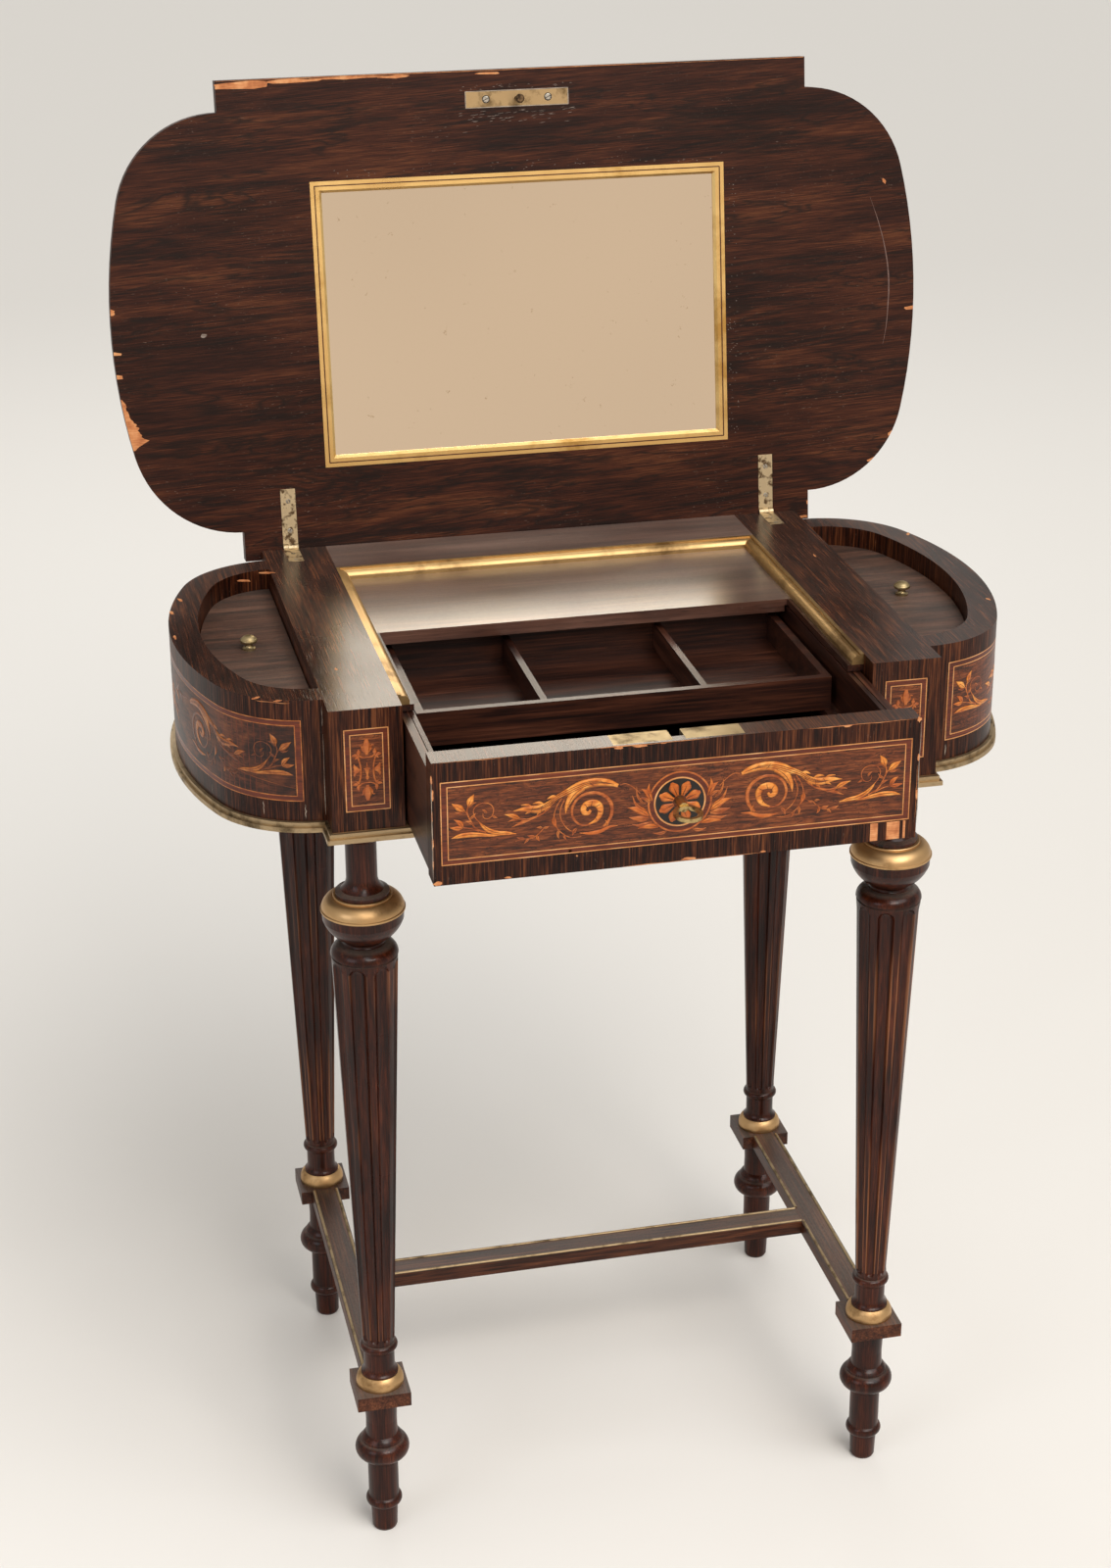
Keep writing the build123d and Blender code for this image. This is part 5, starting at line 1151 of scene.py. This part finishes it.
draw("end_cracks_right", [
    crack(-JOINT, -42, 14, 0.3), crack(-JOINT, 20, 41, 0.22), crack(JOINT, -40, 30, 0.25),
    crack(-JOINT + 16, -43, -34, 0.3), crack(JOINT - 18, -43, -35, 0.3),
], on_end(1), "case")


def up_lid(node):
    """Height of a piece's middle on the open lid, in mm from the hinge."""
    return ((low(node) + high(node)) / 2 - HINGE_AT).dot(LID_ALONG) / MM


def lines_round(kind, half_u, half_v, middle, level_widths, upright_widths, sag=0.0):
    """Strokes along the four sides of a rectangle on the lid, in mm."""
    strokes = []
    for side in (-1, 1):
        v = middle + side * half_v
        strokes.append((kind, [(-half_u, v), (0, v - side * sag), (half_u, v)], level_widths))
    for side in (-1, 1):
        u = side * half_u
        strokes.append((kind, [(u, middle - half_v), (u, middle), (u, middle + half_v)],
                        upright_widths))
    return strokes


STRIKE_MIDDLE = up_lid("strike_plate")
STRIKE_HALF_LENGTH, STRIKE_HALF_WIDTH = 41.3, 6.3      # mm, just outside the strike plate
MIRROR_FRAME_HALF = 112.5       # mm, half the height of the mirror frame
GROOVE_INSET = 3.5              # mm from its edge to the groove by its bead, where a dark line is drawn
STRIKE_SCREWS = (-25.0, 25.0)
# a dark disc under each screw head, wider than the head, paints the shade round its rim
for index, u in enumerate(STRIKE_SCREWS):
    disc(f"strike_screw_shade_ring_{index}", 3.1 * MM, BAND_HEIGHT,
         lambda a, b, h: on_lid(a + u * MM, b + STRIKE_MIDDLE * MM, h), "lid", ebony)
    screw(f"strike_screw_{index}", u, STRIKE_MIDDLE, on_lid, "lid", old_steel, 2.5)
draw("mirror_frame_groove", lines_round(
    "line", high("mirror_frame").x / MM - GROOVE_INSET, MIRROR_FRAME_HALF - GROOVE_INSET,
    up_lid("mirror_frame"), [0.4, 0.45, 0.4], [0.4, 0.45, 0.4]), on_lid, "lid")
draw("strike_plate_edge", lines_round(
    "dust", STRIKE_HALF_LENGTH, STRIKE_HALF_WIDTH, STRIKE_MIDDLE, [0.25, 0.4, 0.3],
    [0.35, 0.45, 0.3], 0.1), on_lid, "lid")
HINGE_MIDDLE = high("hinge_pins").x / MM - 6
LEAF_SCREW_RADIUS = 1.9
LEAF_SCREW_PROUD = 0.15     # the leaves lie 0.4 mm apart when the lid is shut
LID_LEAF_SCREWS = (14.0, 38.0)      # mm up the lid from its hinge
CASE_LEAF_SCREWS = (151.0, 166.0)   # mm behind the middle of the case
for side, label in ((-1, "left"), (1, "right")):
    for index, v in enumerate(LID_LEAF_SCREWS):
        screw(f"lid_leaf_screw_{label}_{index}", side * HINGE_MIDDLE, v, on_lid, "lid", old_steel,
              LEAF_SCREW_RADIUS, 0.9 + index, LEAF_SCREW_PROUD)
    for index, v in enumerate(CASE_LEAF_SCREWS):
        screw(f"case_leaf_screw_{label}_{index}", side * HINGE_MIDDLE, v, on_top, "case",
              old_steel, LEAF_SCREW_RADIUS, 0.2 + index, LEAF_SCREW_PROUD)

# ------------------------------------------------------------------ studio and camera
FLOOR_COLOUR = "#e9e6e1"
FLOOR_RADIUS = 40.0
WORLD_LIGHT = 0.48
WORLD_SEEN = 0.62       # to the camera and in gloss, near the brightness of the far floor


def plain(name, code, rough):
    """Paper of one colour, with a little change in its roughness."""
    material, tree = new_material(name)
    cast = add(tree, "ShaderNodeTexNoise", {
        "Vector": add(tree, "ShaderNodeTexCoord").outputs["Object"], "Scale": 3.0, "Detail": 3.0,
    }).outputs["Fac"]
    dull = add(tree, "ShaderNodeMapRange", {"Value": cast, "To Min": rough - 0.05,
                                            "To Max": rough + 0.05}).outputs["Result"]
    shader = add(tree, "ShaderNodeBsdfPrincipled", {
        "Base Color": hex_colour(code), "Roughness": dull,
    })
    finish_material(tree, shader)
    return material


bpy.ops.object.select_all(action="DESELECT")
bpy.ops.mesh.primitive_circle_add(vertices=96, radius=FLOOR_RADIUS, fill_type="NGON")
floor = bpy.context.object
floor.name = "studio_floor"
floor.data.materials.append(plain("studio_floor_paper", FLOOR_COLOUR, 0.7))


def glowing(name, code, strength):
    """Evenly lit paper with a slight cloud in its brightness."""
    material, tree = new_material(name)
    cloud = add(tree, "ShaderNodeTexNoise", {
        "Vector": add(tree, "ShaderNodeTexCoord").outputs["Object"], "Scale": 0.8, "Detail": 1.0,
    }).outputs["Fac"]
    level = add(tree, "ShaderNodeMapRange", {"Value": cloud, "To Min": strength * 0.85,
                                             "To Max": strength * 1.15}).outputs["Result"]
    add(tree, "ShaderNodeOutputMaterial", {"Surface": add(tree, "ShaderNodeEmission", {
        "Color": hex_colour(code), "Strength": level,
    }).outputs[0]})
    return material


# Cream board well in front of the table, for the mirror to show. Seen from behind it would be in
# the way, so the camera doesn't show it.
BOARD_WIDTH, BOARD_HEIGHT = 5.0, 2.6
BOARD_AT = Vector((0.9, -5.4, 0.9))
bpy.ops.object.select_all(action="DESELECT")
bpy.ops.mesh.primitive_plane_add(size=1)
board = bpy.context.object
board.name = "studio_cream_board"
for vertex in board.data.vertices:
    vertex.co = Vector((vertex.co.x * BOARD_WIDTH, 0.0, vertex.co.y * BOARD_HEIGHT)) + BOARD_AT
board.data.materials.append(glowing("studio_cream_paper", "#e6ccb2", 1.0))
board.visible_camera = False

world = bpy.data.worlds.new("studio_light")
bpy.context.scene.world = world
world.use_nodes = True
tree = world.node_tree
tree.nodes.clear()
path = add(tree, "ShaderNodeLightPath").outputs
seen = add(tree, "ShaderNodeMath", {0: path["Is Camera Ray"], 1: path["Is Glossy Ray"]},
           operation="MAXIMUM").outputs[0]
seen = add(tree, "ShaderNodeMath", {0: seen, 1: path["Is Transmission Ray"]},
           operation="MAXIMUM").outputs[0]
shown = add(tree, "ShaderNodeMapRange", {"Value": seen, "To Min": WORLD_LIGHT,
                                         "To Max": WORLD_SEEN})
light = add(tree, "ShaderNodeBackground", {
    "Color": hex_colour("#f3efe8"), "Strength": shown.outputs["Result"],
})
add(tree, "ShaderNodeOutputWorld", {"Surface": light.outputs[0]})


def softbox(name, place, target, width, height, watts, colour):
    """A rectangular lamp at a place, turned to a target."""
    lamp = bpy.data.lights.new(name, "AREA")
    lamp.shape = "RECTANGLE"
    lamp.size = width
    lamp.size_y = height
    lamp.energy = watts
    lamp.color = hex_colour(colour)[:3]
    obj = bpy.data.objects.new(name, lamp)
    bpy.context.scene.collection.objects.link(obj)
    way = Vector(target) - Vector(place)
    obj.rotation_euler = way.to_track_quat("-Z", "Y").to_euler()
    obj.location = place
    return obj


softbox("key_softbox", (0.35, -2.2, 2.45), (0, 0, 0.7), 1.4, 1.0, 34, "#fff7ee")
softbox("fill_softbox", (-2.3, -1.6, 1.8), (0, 0, 0.5), 1.4, 1.4, 14, "#eef3ff")
softbox("back_softbox", (0.2, 2.8, 2.3), (0, 0, 0.7), 1.8, 1.2, 14, "#ffffff")
# Even light over the whole floor, from high on the right in front.
lamp = bpy.data.lights.new("sky_light", "SUN")
lamp.energy = 1.6
lamp.angle = math.radians(45)
sky = bpy.data.objects.new("sky_light", lamp)
bpy.context.scene.collection.objects.link(sky)
sky.rotation_euler = Vector((-0.35, 0.55, -1.0)).to_track_quat("-Z", "Y").to_euler()

SENSOR_HEIGHT = 36.0
FOCAL_SHARE = 1.75875       # focal length over the height of the frame
CAMERA_AT = (-0.4622, -1.9349, 1.4268)
AZIMUTH, ELEVATION, ROLL = math.radians(-12.8), math.radians(23.5), math.radians(-0.3)
backward = Vector((math.sin(AZIMUTH) * math.cos(ELEVATION),
                   -math.cos(AZIMUTH) * math.cos(ELEVATION), math.sin(ELEVATION)))
right = (-backward).cross(Vector((0, 0, 1))).normalized()
up = right.cross(-backward)
across = right * math.cos(ROLL) + up * math.sin(ROLL)
upward = up * math.cos(ROLL) - right * math.sin(ROLL)
camera_data = bpy.data.cameras.new("camera")
camera_data.sensor_width = SENSOR_HEIGHT     # the longer side of an upright frame
camera_data.lens = SENSOR_HEIGHT * FOCAL_SHARE
camera_data.clip_start = 0.05
camera = bpy.data.objects.new("camera", camera_data)
bpy.context.scene.collection.objects.link(camera)
turn = Matrix((across, upward, backward)).transposed()
camera.matrix_world = Matrix.Translation(CAMERA_AT) @ turn.to_4x4()
bpy.context.scene.camera = camera
bpy.context.scene.view_settings.view_transform = "Standard"
